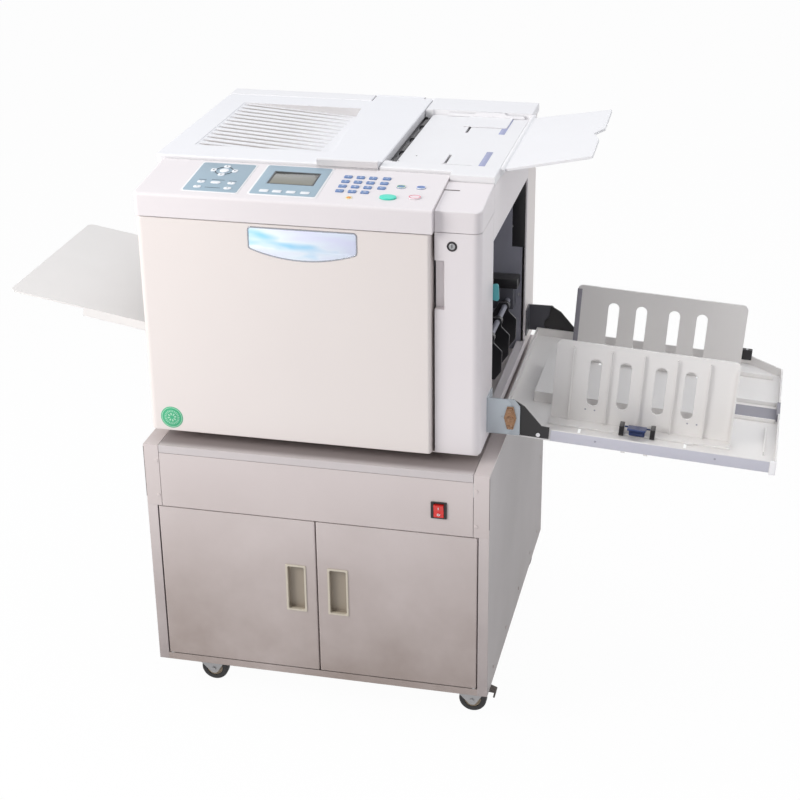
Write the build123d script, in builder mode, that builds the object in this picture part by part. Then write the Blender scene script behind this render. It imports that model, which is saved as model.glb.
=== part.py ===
from build123d import *
from math import atan, cos, pi, radians, sin, sqrt, tan
import os

os.makedirs("parts", exist_ok=True)

# A digital duplicator on its caster cabinet, in millimetres: X to the right, Y to the back, Z up.
# It is drawn with Y = 0 on the cabinet's front plane and the floor at Z = 0. Each piece is then
# written about the floor point under the middle of the cabinet.

# Driving dimensions: the cabinet
cabinet_width = 610
cabinet_depth = 620
cabinet_bottom = 66
cabinet_top = 503
sheet = 2
stile_width = 18
corner_width = 27
fascia_bottom = 385
deck_lip = 14
sill_height = 13
flange_depth = 30
seam = 0.8
door_gap = 2
door_depth = 16
door_pin_inset = 5
door_pin_radius = 2.5
pull_width = 37
pull_height = 93
pull_flange = 2
pull_depth = 12
pull_from_middle = 38
pull_middle_z = 247
switch_x = 218.5
switch_z = 431
switch_width = 27.5
switch_height = 31.2
running_clearance = 0.05
part_clearance = 0.4

# Driving dimensions: the casters
wheel_radius = 25
wheel_width = 18
caster_inset_x = 61
caster_inset_y = 55
caster_trail = 26
caster_plate_size = 56
fork_top = 58
axle_radius = 4
kingpin_radius = 5
brake_pivot_radius = 2.5

# Driving dimensions: the machine's body
body_left = -296
body_right = 281
body_front = 21
body_back = cabinet_depth - 14
foot_height = 17
wall = 3
frame_sheet = 3
cover_top = 972
cover_bottom = cover_top - 15
door_top = cover_bottom - 46
cover_overhang = 14
front_frame_y = 118
rear_frame_y = body_back - 106
column_left = 205
column_front = 33
opening_front = 143
opening_back = rear_frame_y - 3
opening_bottom = 540
opening_top = cover_top - 108
front_door_depth = 34
front_door_right = 200
door_hinge_x = -289
door_hinge_y = 46
door_hinge_radius = 3

# Driving dimensions: the printing works
drum_x = -30
drum_z = 750
drum_radius = 88
drum_front = 140
drum_back = rear_frame_y - 20
drum_shaft_radius = 10
press_roller_radius = 22
press_shaft_radius = 6
gear_module = 2.25
gear_teeth = 54
pinion_teeth = 18
gear_face = 10
pinion_angle = -40
pinion_shaft_radius = 4

# Driving dimensions: the top
console_front = 18
console_back = 165
panel_back_z = cover_top - 5.5
panel_front_z = panel_back_z - 14.5
table_top = cover_top - 10
table_front = 203
table_back = body_back - 69
table_left = 97
table_right = 275
slot_x = 179
guide_travel = 64
lid_axis_y = body_back + 12
lid_axis_z = cover_top - 12
lid_knuckle_radius = 12
lid_pin_radius = 3
recess_left = -262
recess_right = -36
recess_front = 235
recess_back = body_back - 88
recess_depth = 16
groove_count = 13
document_tray_rise = 12

# Driving dimensions: the paper trays
tray_axis_x = 327
tray_axis_z = 563
tray_droop = 3.5
tray_near = 102
tray_far = rear_frame_y + 34
tray_inner = -27
tray_outer = 440
rail_bottom = -30
rail_height = 21
tray_floor_top = -24
fence_near_y = 180
fence_far_y = tray_far - 94
fence_start = 53
fence_length = 309
fence_height = 149
fence_sheet = 3
fence_foot = 28
fence_travel_in = 45
fence_travel_out = 38
lock_u = 205
lock_width = 31
lock_ear_reach = 22
lock_ear_width = 5
lock_pivot_y = 160
lock_pivot_w = -11
lock_pin_radius = 1.5
feed_axis_x = -324
feed_axis_z = 667
feed_rise = 9.5
feed_near = 127
feed_far = rear_frame_y - 6
feed_length = 268
feed_pan_length = 128
elevator_travel = 80


# Planes and repeated shapes
def level(z, base=Plane.XY):
    """The plane parallel to the base at this height, drawn in x and y."""
    return base.offset(z)


def upright(y, base=Plane.XY):
    """The plane across the depth at this y, drawn in x and z."""
    return Plane(origin=base.origin + base.y_dir * y, x_dir=base.x_dir, z_dir=-base.y_dir)


def cross(x, base=Plane.XY):
    """The plane across the width at this x, drawn in y and z."""
    return Plane(origin=base.origin + base.x_dir * x, x_dir=base.y_dir, z_dir=base.x_dir)


def patch(x, y, mode=Mode.ADD):
    """A rectangle between two corners of the current sketch."""
    with Locations(((x[0] + x[1]) / 2, (y[0] + y[1]) / 2)):
        Rectangle(x[1] - x[0], y[1] - y[0], mode=mode)


def block(x, y, z, base=Plane.XY, mode=Mode.ADD):
    """A rectangle raised between two heights."""
    with BuildSketch(level(z[0], base)) as footprint:
        patch(x, y)
    extrude(footprint.sketch, amount=z[1] - z[0], mode=mode)


def rod(axis, radius, centre, span, base=Plane.XY, mode=Mode.ADD):
    """A round bar along one axis, between the two ends of span."""
    planes = {"x": cross(span[0], base), "y": upright(span[0], base), "z": level(span[0], base)}
    length = span[1] - span[0]
    with BuildSketch(planes[axis]) as section:
        with Locations(centre):
            Circle(radius)
    extrude(section.sketch, amount=-length if axis == "y" else length, mode=mode)


def sided(side, near, far):
    """The x span from near to far on the right, side 1, or mirrored on the left, side -1."""
    return (near, far) if side > 0 else (-far, -near)


pieces = {}


def keep(name, builder):
    """Name a finished piece and keep it for the export."""
    builder.part.label = name
    pieces[name] = builder.part


# Cabinet: floor pan, sides, back, deck, fascia and corners
half_width = cabinet_width / 2
inner_width = half_width - sheet
door_field = half_width - stile_width
corner_inner = half_width - corner_width
sill_top = cabinet_bottom + sill_height
deck_bottom = cabinet_top - sheet
deck_lip_bottom = cabinet_top - deck_lip
back_flange = 20
back_inner = half_width - back_flange
cable_hole_radius = 22

with BuildPart() as cabinet_base:
    block((-inner_width, inner_width), (sheet, cabinet_depth - sheet), (cabinet_bottom, sill_top))
    block((-door_field, door_field), (0, sheet), (cabinet_bottom, sill_top))
    for x, y in (
        ((-inner_width + sheet, inner_width - sheet), (2 * sheet, cabinet_depth - 2 * sheet)),
        ((-door_field + sheet, door_field - sheet), (sheet, 3 * sheet)),
    ):
        block(x, y, (cabinet_bottom + sheet, sill_top), mode=Mode.SUBTRACT)
keep("cabinet_base", cabinet_base)

for side, name in ((-1, "cabinet_left_side"), (1, "cabinet_right_side")):
    with BuildPart() as side_panel:
        with BuildSketch(level(cabinet_bottom)):
            patch(sided(side, inner_width, half_width), (0, cabinet_depth))
            patch(sided(side, door_field, half_width), (0, sheet))
            patch(sided(side, back_inner, half_width), (cabinet_depth - sheet, cabinet_depth))
        extrude(amount=fascia_bottom - cabinet_bottom)
        with BuildSketch(level(sill_top)):
            patch(sided(side, door_field, door_field + sheet), (0, back_flange))
        extrude(amount=fascia_bottom - sill_top)
        with BuildSketch(level(fascia_bottom)):
            patch(sided(side, inner_width, half_width), (sheet, cabinet_depth))
            patch(sided(side, back_inner, half_width), (cabinet_depth - sheet, cabinet_depth))
        extrude(amount=deck_lip_bottom - fascia_bottom)
        with BuildSketch(level(deck_lip_bottom)):
            patch(sided(side, inner_width, half_width), (sheet, cabinet_depth))
        extrude(amount=deck_bottom - deck_lip_bottom)
    keep(name, side_panel)

with BuildPart() as cabinet_back:
    with BuildSketch(upright(cabinet_depth - sheet)):
        patch((-half_width + back_flange, half_width - back_flange), (sill_top, deck_lip_bottom))
        with Locations((half_width / 2, sill_top + 3 * cable_hole_radius)):
            Circle(cable_hole_radius, mode=Mode.SUBTRACT)
    extrude(amount=-sheet)
keep("cabinet_back", cabinet_back)

with BuildPart() as cabinet_deck:
    with BuildSketch(cross(-corner_inner + seam)):
        patch((0, cabinet_depth), (deck_bottom, cabinet_top))
        patch((0, sheet), (deck_lip_bottom, cabinet_top))
        patch((cabinet_depth - sheet, cabinet_depth), (deck_lip_bottom, cabinet_top))
    extrude(amount=2 * (corner_inner - seam))
keep("cabinet_deck", cabinet_deck)

switch_body_width = switch_width - 4
switch_body_height = switch_height - 3
with BuildPart() as cabinet_fascia:
    with BuildSketch(cross(-corner_inner + seam)):
        patch((0, sheet), (fascia_bottom, deck_lip_bottom - seam))
        patch((0, flange_depth), (fascia_bottom, fascia_bottom + sheet))
        patch((0, flange_depth / 2), (deck_lip_bottom - seam - sheet, deck_lip_bottom - seam))
    extrude(amount=2 * (corner_inner - seam))
    hole_half = switch_body_width / 2 + part_clearance / 2
    hole_half_height = switch_body_height / 2 + part_clearance / 2
    block(
        (switch_x - hole_half, switch_x + hole_half),
        (-sheet, 2 * sheet),
        (switch_z - hole_half_height, switch_z + hole_half_height),
        mode=Mode.SUBTRACT,
    )
keep("cabinet_fascia", cabinet_fascia)

pin_x = door_field - door_gap - door_pin_inset
pin_y = door_pin_inset
with BuildPart() as cabinet_corners:
    for side in (-1, 1):
        block(sided(side, corner_inner, half_width), (0, sheet), (fascia_bottom, cabinet_top))
        block(sided(side, corner_inner, half_width), (0, cabinet_depth), (deck_bottom, cabinet_top))
        block(
            sided(side, corner_inner, inner_width - seam),
            (0, flange_depth),
            (fascia_bottom, fascia_bottom + sheet),
        )
        rod(
            "z",
            door_pin_radius + running_clearance,
            (side * pin_x, pin_y),
            (fascia_bottom, fascia_bottom + sheet),
            mode=Mode.SUBTRACT,
        )
keep("cabinet_corners", cabinet_corners)

# Cabinet doors: folded sheet, hung on a pin at each outer corner, each with a recessed pull
door_bottom_z = sill_top + door_gap
door_top_z = fascia_bottom - door_gap
door_outer = door_field - door_gap
door_inner = door_gap / 2
door_bend = sheet
pull_cup_width = pull_width - 2 * pull_flange
pull_cup_height = pull_height - 2 * pull_flange
pull_wall = 1.5

for side, name in ((-1, "left"), (1, "right")):
    with BuildPart() as door:
        with BuildSketch(upright(0)):
            patch(sided(side, door_inner, door_outer), (door_bottom_z, door_top_z))
        extrude(amount=-door_depth)
        fillet(door.edges().filter_by(Axis.Z).group_by(Axis.Y)[0], door_bend)
        block(
            sided(side, door_inner + sheet, door_outer - sheet),
            (sheet, door_depth),
            (door_bottom_z + sheet, door_top_z - sheet),
            mode=Mode.SUBTRACT,
        )
        rod(
            "z",
            door_pin_radius + running_clearance,
            (side * pin_x, pin_y),
            (door_bottom_z - sheet, door_top_z + sheet),
            mode=Mode.SUBTRACT,
        )
        with BuildSketch(upright(-sheet)):
            with Locations((side * pull_from_middle, pull_middle_z)):
                Rectangle(pull_cup_width + part_clearance, pull_cup_height + part_clearance)
        extrude(amount=-3 * sheet, mode=Mode.SUBTRACT)
    keep("cabinet_door_" + name, door)

    with BuildPart() as pull:
        with BuildSketch(upright(0)):
            with Locations((side * pull_from_middle, pull_middle_z)):
                RectangleRounded(pull_width, pull_height, 2)
        extrude(amount=pull_wall)
        with BuildSketch(upright(0)):
            with Locations((side * pull_from_middle, pull_middle_z)):
                Rectangle(pull_cup_width, pull_cup_height)
        extrude(amount=-pull_depth)
        fillet(pull.faces().sort_by(Axis.Y)[0].edges(), 0.6)
        with BuildSketch(upright(-pull_wall)):
            with Locations((side * pull_from_middle, pull_middle_z)):
                RectangleRounded(pull_cup_width - 2 * pull_wall, pull_cup_height - 2 * pull_wall, 3)
        extrude(amount=-pull_depth, mode=Mode.SUBTRACT)
    keep("door_pull_" + name, pull)

# Power rocker in the fascia: a socket with a bezel, and the rocker on its pivot
rocker_pivot_y = 5.2
rocker_half_width = 8.6
rocker_half_height = 12
rocker_face = 8
rocker_tilt = 7
rocker_pin_radius = 1.5
bezel_proud = 2
switch_wall = 1.1
switch_body_depth = 24

with BuildPart() as switch_housing:
    with BuildSketch(upright(0)):
        with Locations((switch_x, switch_z)):
            RectangleRounded(switch_width, switch_height, 1.5)
    extrude(amount=bezel_proud)
    with BuildSketch(upright(0)):
        with Locations((switch_x, switch_z)):
            Rectangle(switch_body_width, switch_body_height)
    extrude(amount=-switch_body_depth)
    with BuildSketch(upright(-bezel_proud)):
        with Locations((switch_x, switch_z)):
            Rectangle(2 * (rocker_half_width + part_clearance), switch_body_height - 2 * switch_wall)
    extrude(amount=-switch_body_depth, mode=Mode.SUBTRACT)
    rod(
        "x",
        rocker_pin_radius + running_clearance,
        (rocker_pivot_y, switch_z),
        (switch_x - switch_body_width / 2 - 1, switch_x + switch_body_width / 2 + 1),
        mode=Mode.SUBTRACT,
    )
keep("switch_housing", switch_housing)

rocker_plane = Plane(
    origin=(switch_x, rocker_pivot_y, switch_z),
    x_dir=(0, -cos(radians(rocker_tilt)), -sin(radians(rocker_tilt))),
    z_dir=(1, 0, 0),
)
with BuildPart() as switch_rocker:
    with BuildSketch(rocker_plane.offset(-rocker_half_width)):
        with BuildLine():
            crest = rocker_face + rocker_half_height * tan(radians(rocker_tilt))
            Polyline(
                (crest, -rocker_half_height),
                (rocker_face, 0),
                (crest, rocker_half_height),
                (-2, rocker_half_height - 1),
                (-2, -rocker_half_height + 1),
                close=True,
            )
        make_face()
    extrude(amount=2 * rocker_half_width)
    rod(
        "x",
        rocker_pin_radius,
        (rocker_pivot_y, switch_z),
        (switch_x - switch_body_width / 2, switch_x + switch_body_width / 2),
    )
keep("switch_rocker", switch_rocker)

# Casters: plates under the floor pan, swivelling forks, wheels, and brakes on the front pair
caster_plate_sheet = 3
fork_sheet = 2.5
thrust_gap = 0.3
wheel_gap = 1.5
leg_inner = wheel_width / 2 + wheel_gap
leg_outer = leg_inner + fork_sheet
kingpin_bottom = fork_top - fork_sheet - 2
kingpin_head = 8
race_radius = 16
caster_x = half_width - caster_inset_x
front_caster_y = caster_inset_y
rear_caster_y = cabinet_depth - caster_inset_y
caster_places = {
    "front_left": (-caster_x, front_caster_y),
    "front_right": (caster_x, front_caster_y),
    "rear_left": (-caster_x, rear_caster_y),
    "rear_right": (caster_x, rear_caster_y),
}
brake_reach_x = 20
brake_pivot_z = 50
brake_swing = 12
brake_width = 16

with BuildPart() as caster_plates:
    for x, y in caster_places.values():
        half = caster_plate_size / 2
        block(
            (x - half, x + half),
            (y - half, y + half),
            (cabinet_bottom - caster_plate_sheet, cabinet_bottom),
        )
        rod("z", race_radius, (x, y), (fork_top + thrust_gap, cabinet_bottom - caster_plate_sheet))
        rod("z", kingpin_radius, (x, y), (kingpin_bottom, cabinet_bottom - caster_plate_sheet))
        rod("z", kingpin_head, (x, y), (kingpin_bottom - 1, kingpin_bottom + 1.5))
keep("caster_plates", caster_plates)

for place, (x, y) in caster_places.items():
    braked = place.startswith("front")
    axle_x = x + caster_trail
    brake_x = axle_x + brake_reach_x
    with BuildPart() as fork:
        with BuildSketch(level(fork_top - fork_sheet)):
            patch((x - race_radius - 1, axle_x + 4), (y - leg_outer, y + leg_outer))
        extrude(amount=fork_sheet)
        for leg_y in (y - leg_outer, y + leg_inner):
            with BuildSketch(upright(leg_y)):
                with Locations((axle_x, wheel_radius)):
                    Circle(2.2 * axle_radius)
                patch((x - race_radius + 3, axle_x + 4), (fork_top - 6, fork_top))
                if braked:
                    with Locations((brake_x, brake_pivot_z)):
                        Circle(2 * brake_pivot_radius)
                make_hull()
            extrude(amount=-fork_sheet)
        rod("y", axle_radius, (axle_x, wheel_radius), (y - leg_outer - 2, y + leg_outer + 2))
        rod("z", kingpin_radius + running_clearance, (x, y), (0, cabinet_bottom), mode=Mode.SUBTRACT)
        if braked:
            rod("y", brake_pivot_radius, (brake_x, brake_pivot_z), (y - leg_outer, y + leg_outer))
    keep("caster_fork_" + place, fork)

    with BuildPart() as wheel:
        with BuildSketch(upright(y)):
            with Locations((axle_x, wheel_radius)):
                Circle(wheel_radius)
        extrude(amount=wheel_width / 2, both=True)
        fillet(wheel.edges(), 4)
        for face_y, depth in ((y - wheel_width / 2, 3), (y + wheel_width / 2, -3)):
            rod(
                "y",
                0.62 * wheel_radius,
                (axle_x, wheel_radius),
                (face_y, face_y + depth),
                mode=Mode.SUBTRACT,
            )
        rod("y", 2 * axle_radius, (axle_x, wheel_radius), (y - leg_inner + 0.5, y + leg_inner - 0.5))
        rod(
            "y",
            axle_radius + running_clearance,
            (axle_x, wheel_radius),
            (y - wheel_width, y + wheel_width),
            mode=Mode.SUBTRACT,
        )
    keep("caster_wheel_" + place, wheel)

    if braked:
        lobe_angle = radians(231.3 + brake_swing)
        with BuildPart() as brake:
            with BuildSketch(upright(y - brake_width / 2)) as lever_profile:
                with Locations((brake_x, brake_pivot_z)):
                    Circle(2 * brake_pivot_radius - 0.6)
                with Locations((brake_x + 21, brake_pivot_z - 5)):
                    Circle(1.6)
                make_hull()
            extrude(amount=-brake_width)
            with BuildSketch(upright(y - brake_width / 2)) as tip_profile:
                with Locations((brake_x + 21, brake_pivot_z - 5), (brake_x + 19, brake_pivot_z - 15)):
                    Circle(1.6)
                make_hull()
            extrude(amount=-brake_width)
            with BuildSketch(upright(y - wheel_width / 3)) as shoe_profile:
                with Locations(
                    (brake_x, brake_pivot_z),
                    (brake_x + 3.6 * cos(lobe_angle), brake_pivot_z + 3.6 * sin(lobe_angle)),
                ):
                    Circle(2.4)
                make_hull()
            extrude(amount=-2 * wheel_width / 3)
            rod(
                "y",
                brake_pivot_radius + running_clearance,
                (brake_x, brake_pivot_z),
                (y - brake_width, y + brake_width),
                mode=Mode.SUBTRACT,
            )
        keep("caster_brake_" + place, brake)

# Machine base pan on four feet, and the two upright frames that carry the works
base_bottom = cabinet_top + foot_height
base_top = base_bottom + sheet
base_front = door_hinge_y - 8
base_back = body_back - wall - seam
base_left = body_left + wall + seam
base_right = body_right - wall - seam
base_lip = 15
rear_edge_radius = 12
foot_radius = 18
foot_inset = 50
front_frame_top = door_top
rear_frame_top = cover_bottom - 29
frame_left = base_left + sheet
frame_right = base_right - 4
elevator_stud_x = -240
elevator_stud_z = 665
elevator_stud_radius = 5
press_roller_z = drum_z - drum_radius - part_clearance - press_roller_radius
lever_x = 258
lever_z = 773
lever_stud_radius = 4
wing_bar_x = 252
wing_bar_z = 632
wing_bar_radius = 5
pickup_x = -250
pickup_z = 778
pickup_radius = 15
pickup_shaft_radius = 5
window_bottom = 728
window_top = opening_top + 8
tie_bars = ((-150, 600), (150, 600), (-150, 890), (150, 890))

with BuildPart() as base_pan:
    with BuildSketch(level(base_bottom)) as pan_plan:
        patch((base_left, base_right), (base_front, base_back))
        fillet(pan_plan.vertices().group_by(Axis.Y)[-1], rear_edge_radius - wall)
    extrude(amount=sheet + base_lip)
    with BuildSketch(level(base_top)) as pan_space:
        patch((base_left + sheet, base_right - sheet), (base_front - 1, base_back - sheet))
        fillet(pan_space.vertices().group_by(Axis.Y)[-1], rear_edge_radius - wall - sheet)
    extrude(amount=base_lip, mode=Mode.SUBTRACT)
    block(
        (base_left - 1, base_right + 1),
        (base_front - 1, opening_front + seam),
        (base_top, base_top + base_lip),
        mode=Mode.SUBTRACT,
    )
    foot_xs = (base_left + foot_inset, base_right - foot_inset)
    foot_ys = (base_front + foot_inset, base_back - foot_inset)
    for x in foot_xs:
        for y in foot_ys:
            with BuildSketch(level(cabinet_top)):
                with Locations((x, y)):
                    Circle(foot_radius)
            extrude(amount=foot_height, taper=-6)
keep("base_pan", base_pan)

with BuildPart() as works_frame:
    for y, top in ((front_frame_y, front_frame_top), (rear_frame_y, rear_frame_top)):
        with BuildSketch(upright(y)) as plate:
            patch((frame_left, frame_right), (base_top, top))
            with Locations((drum_x, drum_z)):
                Circle(drum_shaft_radius + running_clearance, mode=Mode.SUBTRACT)
                with PolarLocations(drum_radius * 0.62, 5, start_angle=90):
                    Circle(drum_radius * 0.2, mode=Mode.SUBTRACT)
            with Locations((drum_x, press_roller_z)):
                Circle(press_shaft_radius + running_clearance, mode=Mode.SUBTRACT)
            with Locations((pickup_x, pickup_z)):
                Circle(pickup_shaft_radius + running_clearance, mode=Mode.SUBTRACT)
            slot_centre = elevator_stud_z + elevator_travel / 2
            slot_length = elevator_travel + 2 * elevator_stud_radius + 6
            with Locations((elevator_stud_x, slot_centre)):
                slot_radius = elevator_stud_radius + running_clearance
                SlotOverall(slot_length, 2 * slot_radius, rotation=90, mode=Mode.SUBTRACT)
            if y == rear_frame_y:
                patch((frame_right - 20, frame_right), (window_bottom, window_top), mode=Mode.SUBTRACT)
                fillet(plate.vertices().sort_by_distance((frame_right - 20, y, window_bottom))[0], 9)
        extrude(amount=-frame_sheet)
    bar_span = (front_frame_y + frame_sheet, rear_frame_y)
    for bar in tie_bars:
        rod("y", wing_bar_radius, bar, bar_span)
    rod("y", wing_bar_radius, (wing_bar_x, wing_bar_z), bar_span)
    rod("y", lever_stud_radius, (lever_x, lever_z), (front_frame_y + frame_sheet, opening_front + 10))
keep("works_frame", works_frame)

# Outer covers: left, right, rear and the column at the right front
side_front = body_front + front_door_depth + door_gap + 1
left_opening_front = front_frame_y - 10
left_opening_back = rear_frame_y + 12
left_opening_bottom = 634
left_opening_top = 792
rear_strip_front = rear_frame_y + frame_sheet
opening_rim = 8
cap_back = 148
cover_floor = base_top + seam
cover_ceiling = cover_bottom - seam
console_bottom = door_top + 2

with BuildPart() as left_cover:
    with BuildSketch(cross(body_left)):
        patch((side_front, left_opening_back + opening_rim), (cover_floor, cover_ceiling))
        patch(
            (side_front - 1, console_back + seam),
            (console_bottom - seam, cover_bottom),
            mode=Mode.SUBTRACT,
        )
        with Locations(
            (
                (left_opening_front + left_opening_back) / 2,
                (left_opening_bottom + left_opening_top) / 2,
            )
        ):
            RectangleRounded(
                left_opening_back - left_opening_front,
                left_opening_top - left_opening_bottom,
                6,
                mode=Mode.SUBTRACT,
            )
    extrude(amount=wall)
    fillet(left_cover.edges().filter_by(Axis.Y).group_by(Axis.X)[0].sort_by(Axis.Z)[-1], 1.5)
keep("left_cover", left_cover)

with BuildPart() as right_cover:
    with BuildSketch(cross(body_right - wall)):
        patch((opening_front + seam, rear_strip_front), (cover_floor, cover_ceiling))
        patch((opening_front, cap_back + seam), (console_bottom - seam, cover_bottom), mode=Mode.SUBTRACT)
        patch((opening_front, opening_back), (opening_bottom, opening_top), mode=Mode.SUBTRACT)
    extrude(amount=wall)
    block(
        (body_right - 5 * wall, body_right - wall),
        (opening_front + seam, opening_back),
        (opening_top, opening_top + wall),
    )
    block(
        (body_right - 5 * wall, body_right - wall),
        (opening_front + seam, opening_back),
        (opening_bottom - wall, opening_bottom),
    )
keep("right_cover", right_cover)

inlet_x = 190
inlet_z = 562
inlet_width = 48
inlet_height = 28
louvre_length = 46
louvre_height = 4
with BuildPart() as rear_cover:
    with BuildSketch(level(cover_floor)):
        strip_front = rear_strip_front + seam
        with BuildLine():
            FilletPolyline(
                (body_left, strip_front),
                (body_left, body_back),
                (body_right, body_back),
                (body_right, strip_front),
                radius=rear_edge_radius,
            )
            Line((body_right, strip_front), (body_right - wall, strip_front))
            FilletPolyline(
                (body_right - wall, strip_front),
                (body_right - wall, body_back - wall),
                (body_left + wall, body_back - wall),
                (body_left + wall, strip_front),
                radius=rear_edge_radius - wall,
            )
            Line((body_left + wall, strip_front), (body_left, strip_front))
        make_face()
        patch(
            (body_left - 1, body_left + 2 * wall),
            (strip_front - 1, left_opening_back + opening_rim + seam),
            mode=Mode.SUBTRACT,
        )
    extrude(amount=cover_ceiling - cover_floor)
    with BuildSketch(upright(body_back + 1)):
        with Locations((body_left / 2, drum_z)):
            with GridLocations(louvre_length + 12, 3 * louvre_height, 2, 8):
                SlotOverall(louvre_length, louvre_height)
        with Locations((inlet_x, inlet_z)):
            Rectangle(inlet_width - 4, inlet_height - 4)
    extrude(amount=3 * wall, both=True, mode=Mode.SUBTRACT)
keep("rear_cover", rear_cover)

with BuildPart() as power_inlet:
    with BuildSketch(upright(body_back)):
        with Locations((inlet_x, inlet_z)):
            RectangleRounded(inlet_width, inlet_height, 3)
    extrude(amount=-2)
    with BuildSketch(upright(body_back)):
        with Locations((inlet_x, inlet_z)):
            Rectangle(inlet_width - 4 - part_clearance, inlet_height - 4 - part_clearance)
    extrude(amount=26)
    with BuildSketch(upright(body_back + 2)):
        with Locations((inlet_x, inlet_z)):
            RectangleRounded(24.6, 17, 4)
    extrude(amount=18, mode=Mode.SUBTRACT)
    with BuildSketch(upright(body_back - 16)):
        with Locations((inlet_x - 7, inlet_z - 2), (inlet_x, inlet_z + 2), (inlet_x + 7, inlet_z - 2)):
            Rectangle(2, 4)
    extrude(amount=-13)
keep("power_inlet", power_inlet)

column_edge_radius = 14
notch_right = 221
notch_bottom = 781
notch_top = 865
notch_depth = 11
lock_x = 233.5
lock_z = door_top - 21
lock_radius = 8.5
column_top = door_top + 1
column_return_left = 268

with BuildPart() as column_cover:
    with BuildSketch(level(cover_floor)) as column_plan:
        patch((column_left, body_right), (column_front, opening_front))
        fillet(column_plan.vertices().group_by(Axis.Y)[0].sort_by(Axis.X)[-1], column_edge_radius)
        offset(amount=-wall, mode=Mode.SUBTRACT)
        patch(
            (column_left + wall, column_return_left),
            (opening_front - wall - 1, opening_front + 1),
            mode=Mode.SUBTRACT,
        )
        patch(
            (column_left - 1, column_left + wall),
            (front_frame_y - 1, opening_front + 1),
            mode=Mode.SUBTRACT,
        )
    extrude(amount=column_top - cover_floor)
    block(
        (column_left, notch_right + wall),
        (column_front, column_front + notch_depth + wall),
        (notch_bottom - wall, notch_top + wall),
    )
    block(
        (column_left - 1, notch_right),
        (column_front - 1, column_front + notch_depth),
        (notch_bottom, notch_top),
        mode=Mode.SUBTRACT,
    )
    rod("y", lock_radius, (lock_x, lock_z), (column_front, column_front + 1.2), mode=Mode.SUBTRACT)

# Console: a sloping panel over the front door, with its keys
console_right = column_left - seam
panel_rise = panel_back_z - panel_front_z
panel_run = console_back - console_front
panel_length = sqrt(panel_rise**2 + panel_run**2)
panel_plane = Plane(
    origin=(0, console_front, panel_front_z),
    x_dir=(1, 0, 0),
    z_dir=(0, -panel_rise / panel_length, panel_run / panel_length),
)
number_key_left = 40
number_key_front = 55
number_key_pitch_x = 21
number_key_pitch_y = 19.3
memory_key_x = 105
memory_key_front = 75.5
key_width = 13
key_depth = 9
key_proud = 1.6
key_mat = 1.2
start_place = (124, 40)
stop_place = (166.5, 46.5)
test_place = (135.5, 85)
reset_place = (168, 86.5)
start_size = (13.5, 9)
stop_size = (10.5, 7.5)
function_size = (7.5, 6)
number_places = [
    (number_key_left + number_key_pitch_x * column, number_key_front + number_key_pitch_y * row)
    for column in range(3)
    for row in range(4)
]
memory_places = [(memory_key_x, memory_key_front + number_key_pitch_y * row) for row in range(3)]
button_gap = 0.35

with BuildPart() as console:
    with BuildSketch(cross(body_left)):
        with BuildLine():
            Polyline(
                (console_front, console_bottom),
                (console_front, panel_front_z),
                (console_back, panel_back_z),
                (console_back, console_bottom),
                close=True,
            )
        make_face()
    extrude(amount=console_right - body_left)
    fillet(console.edges().filter_by(Axis.Z).sort_by_distance((body_left, console_front, 930))[0], 9)
    fillet(console.edges().filter_by(Axis.X).sort_by_distance((0, console_front, panel_front_z))[0], 5)
    offset(amount=-wall, openings=console.faces().sort_by(Axis.Z)[0])
    block(
        (body_left + wall, door_hinge_x + 3 * door_hinge_radius),
        (console_front + wall, door_hinge_y + 3 * door_hinge_radius),
        (console_bottom, console_bottom + wall),
    )
    rod(
        "z",
        door_hinge_radius,
        (door_hinge_x, door_hinge_y),
        (console_bottom - 1, console_bottom + 2 * wall),
        mode=Mode.SUBTRACT,
    )
    with BuildSketch(panel_plane) as key_holes:
        with Locations(*number_places, *memory_places):
            RectangleRounded(key_width + 2 * button_gap, key_depth + 2 * button_gap, 2)
        for place, size in (
            (start_place, start_size),
            (stop_place, stop_size),
            (test_place, function_size),
            (reset_place, function_size),
        ):
            with Locations(place):
                Ellipse(size[0] + button_gap, size[1] + button_gap)
    extrude(amount=2 * wall, both=True, mode=Mode.SUBTRACT)
keep("console", console)

mat_top = -wall - part_clearance
with BuildPart() as number_keys:
    with BuildSketch(level(mat_top - key_mat, panel_plane)):
        patch(
            (number_key_left - key_width, number_places[-1][0] + key_width - 2),
            (number_key_front - key_depth, number_places[-1][1] + key_depth),
        )
        patch(
            (number_places[-1][0], memory_key_x + key_width - 2),
            (memory_key_front - key_depth, number_places[-1][1] + key_depth),
        )
        patch(
            (memory_key_x, reset_place[0] + function_size[0] + 1),
            (test_place[1] - function_size[1] - 1, reset_place[1] + function_size[1] + 1),
        )
    extrude(amount=key_mat)
    with BuildSketch(level(mat_top, panel_plane)):
        with Locations(*number_places, *memory_places):
            RectangleRounded(key_width, key_depth, 1.8)
        with Locations(test_place, reset_place):
            Ellipse(*function_size)
    extrude(amount=key_proud - mat_top)
keep("number_keys", number_keys)


def oval_button(place, size, proud):
    """An oval key with the flange that holds it under the panel."""
    with BuildSketch(level(mat_top - key_mat, panel_plane)) as flange:
        with Locations(place):
            Ellipse(size[0] + 2, size[1] + 2)
    extrude(flange.sketch, amount=key_mat)
    with BuildSketch(level(mat_top, panel_plane)) as cap:
        with Locations(place):
            Ellipse(size[0], size[1])
    extrude(cap.sketch, amount=proud - mat_top)


with BuildPart() as start_button:
    oval_button(start_place, start_size, 2.4)
keep("start_button", start_button)

with BuildPart() as stop_button:
    oval_button(stop_place, stop_size, 2)
keep("stop_button", stop_button)

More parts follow.
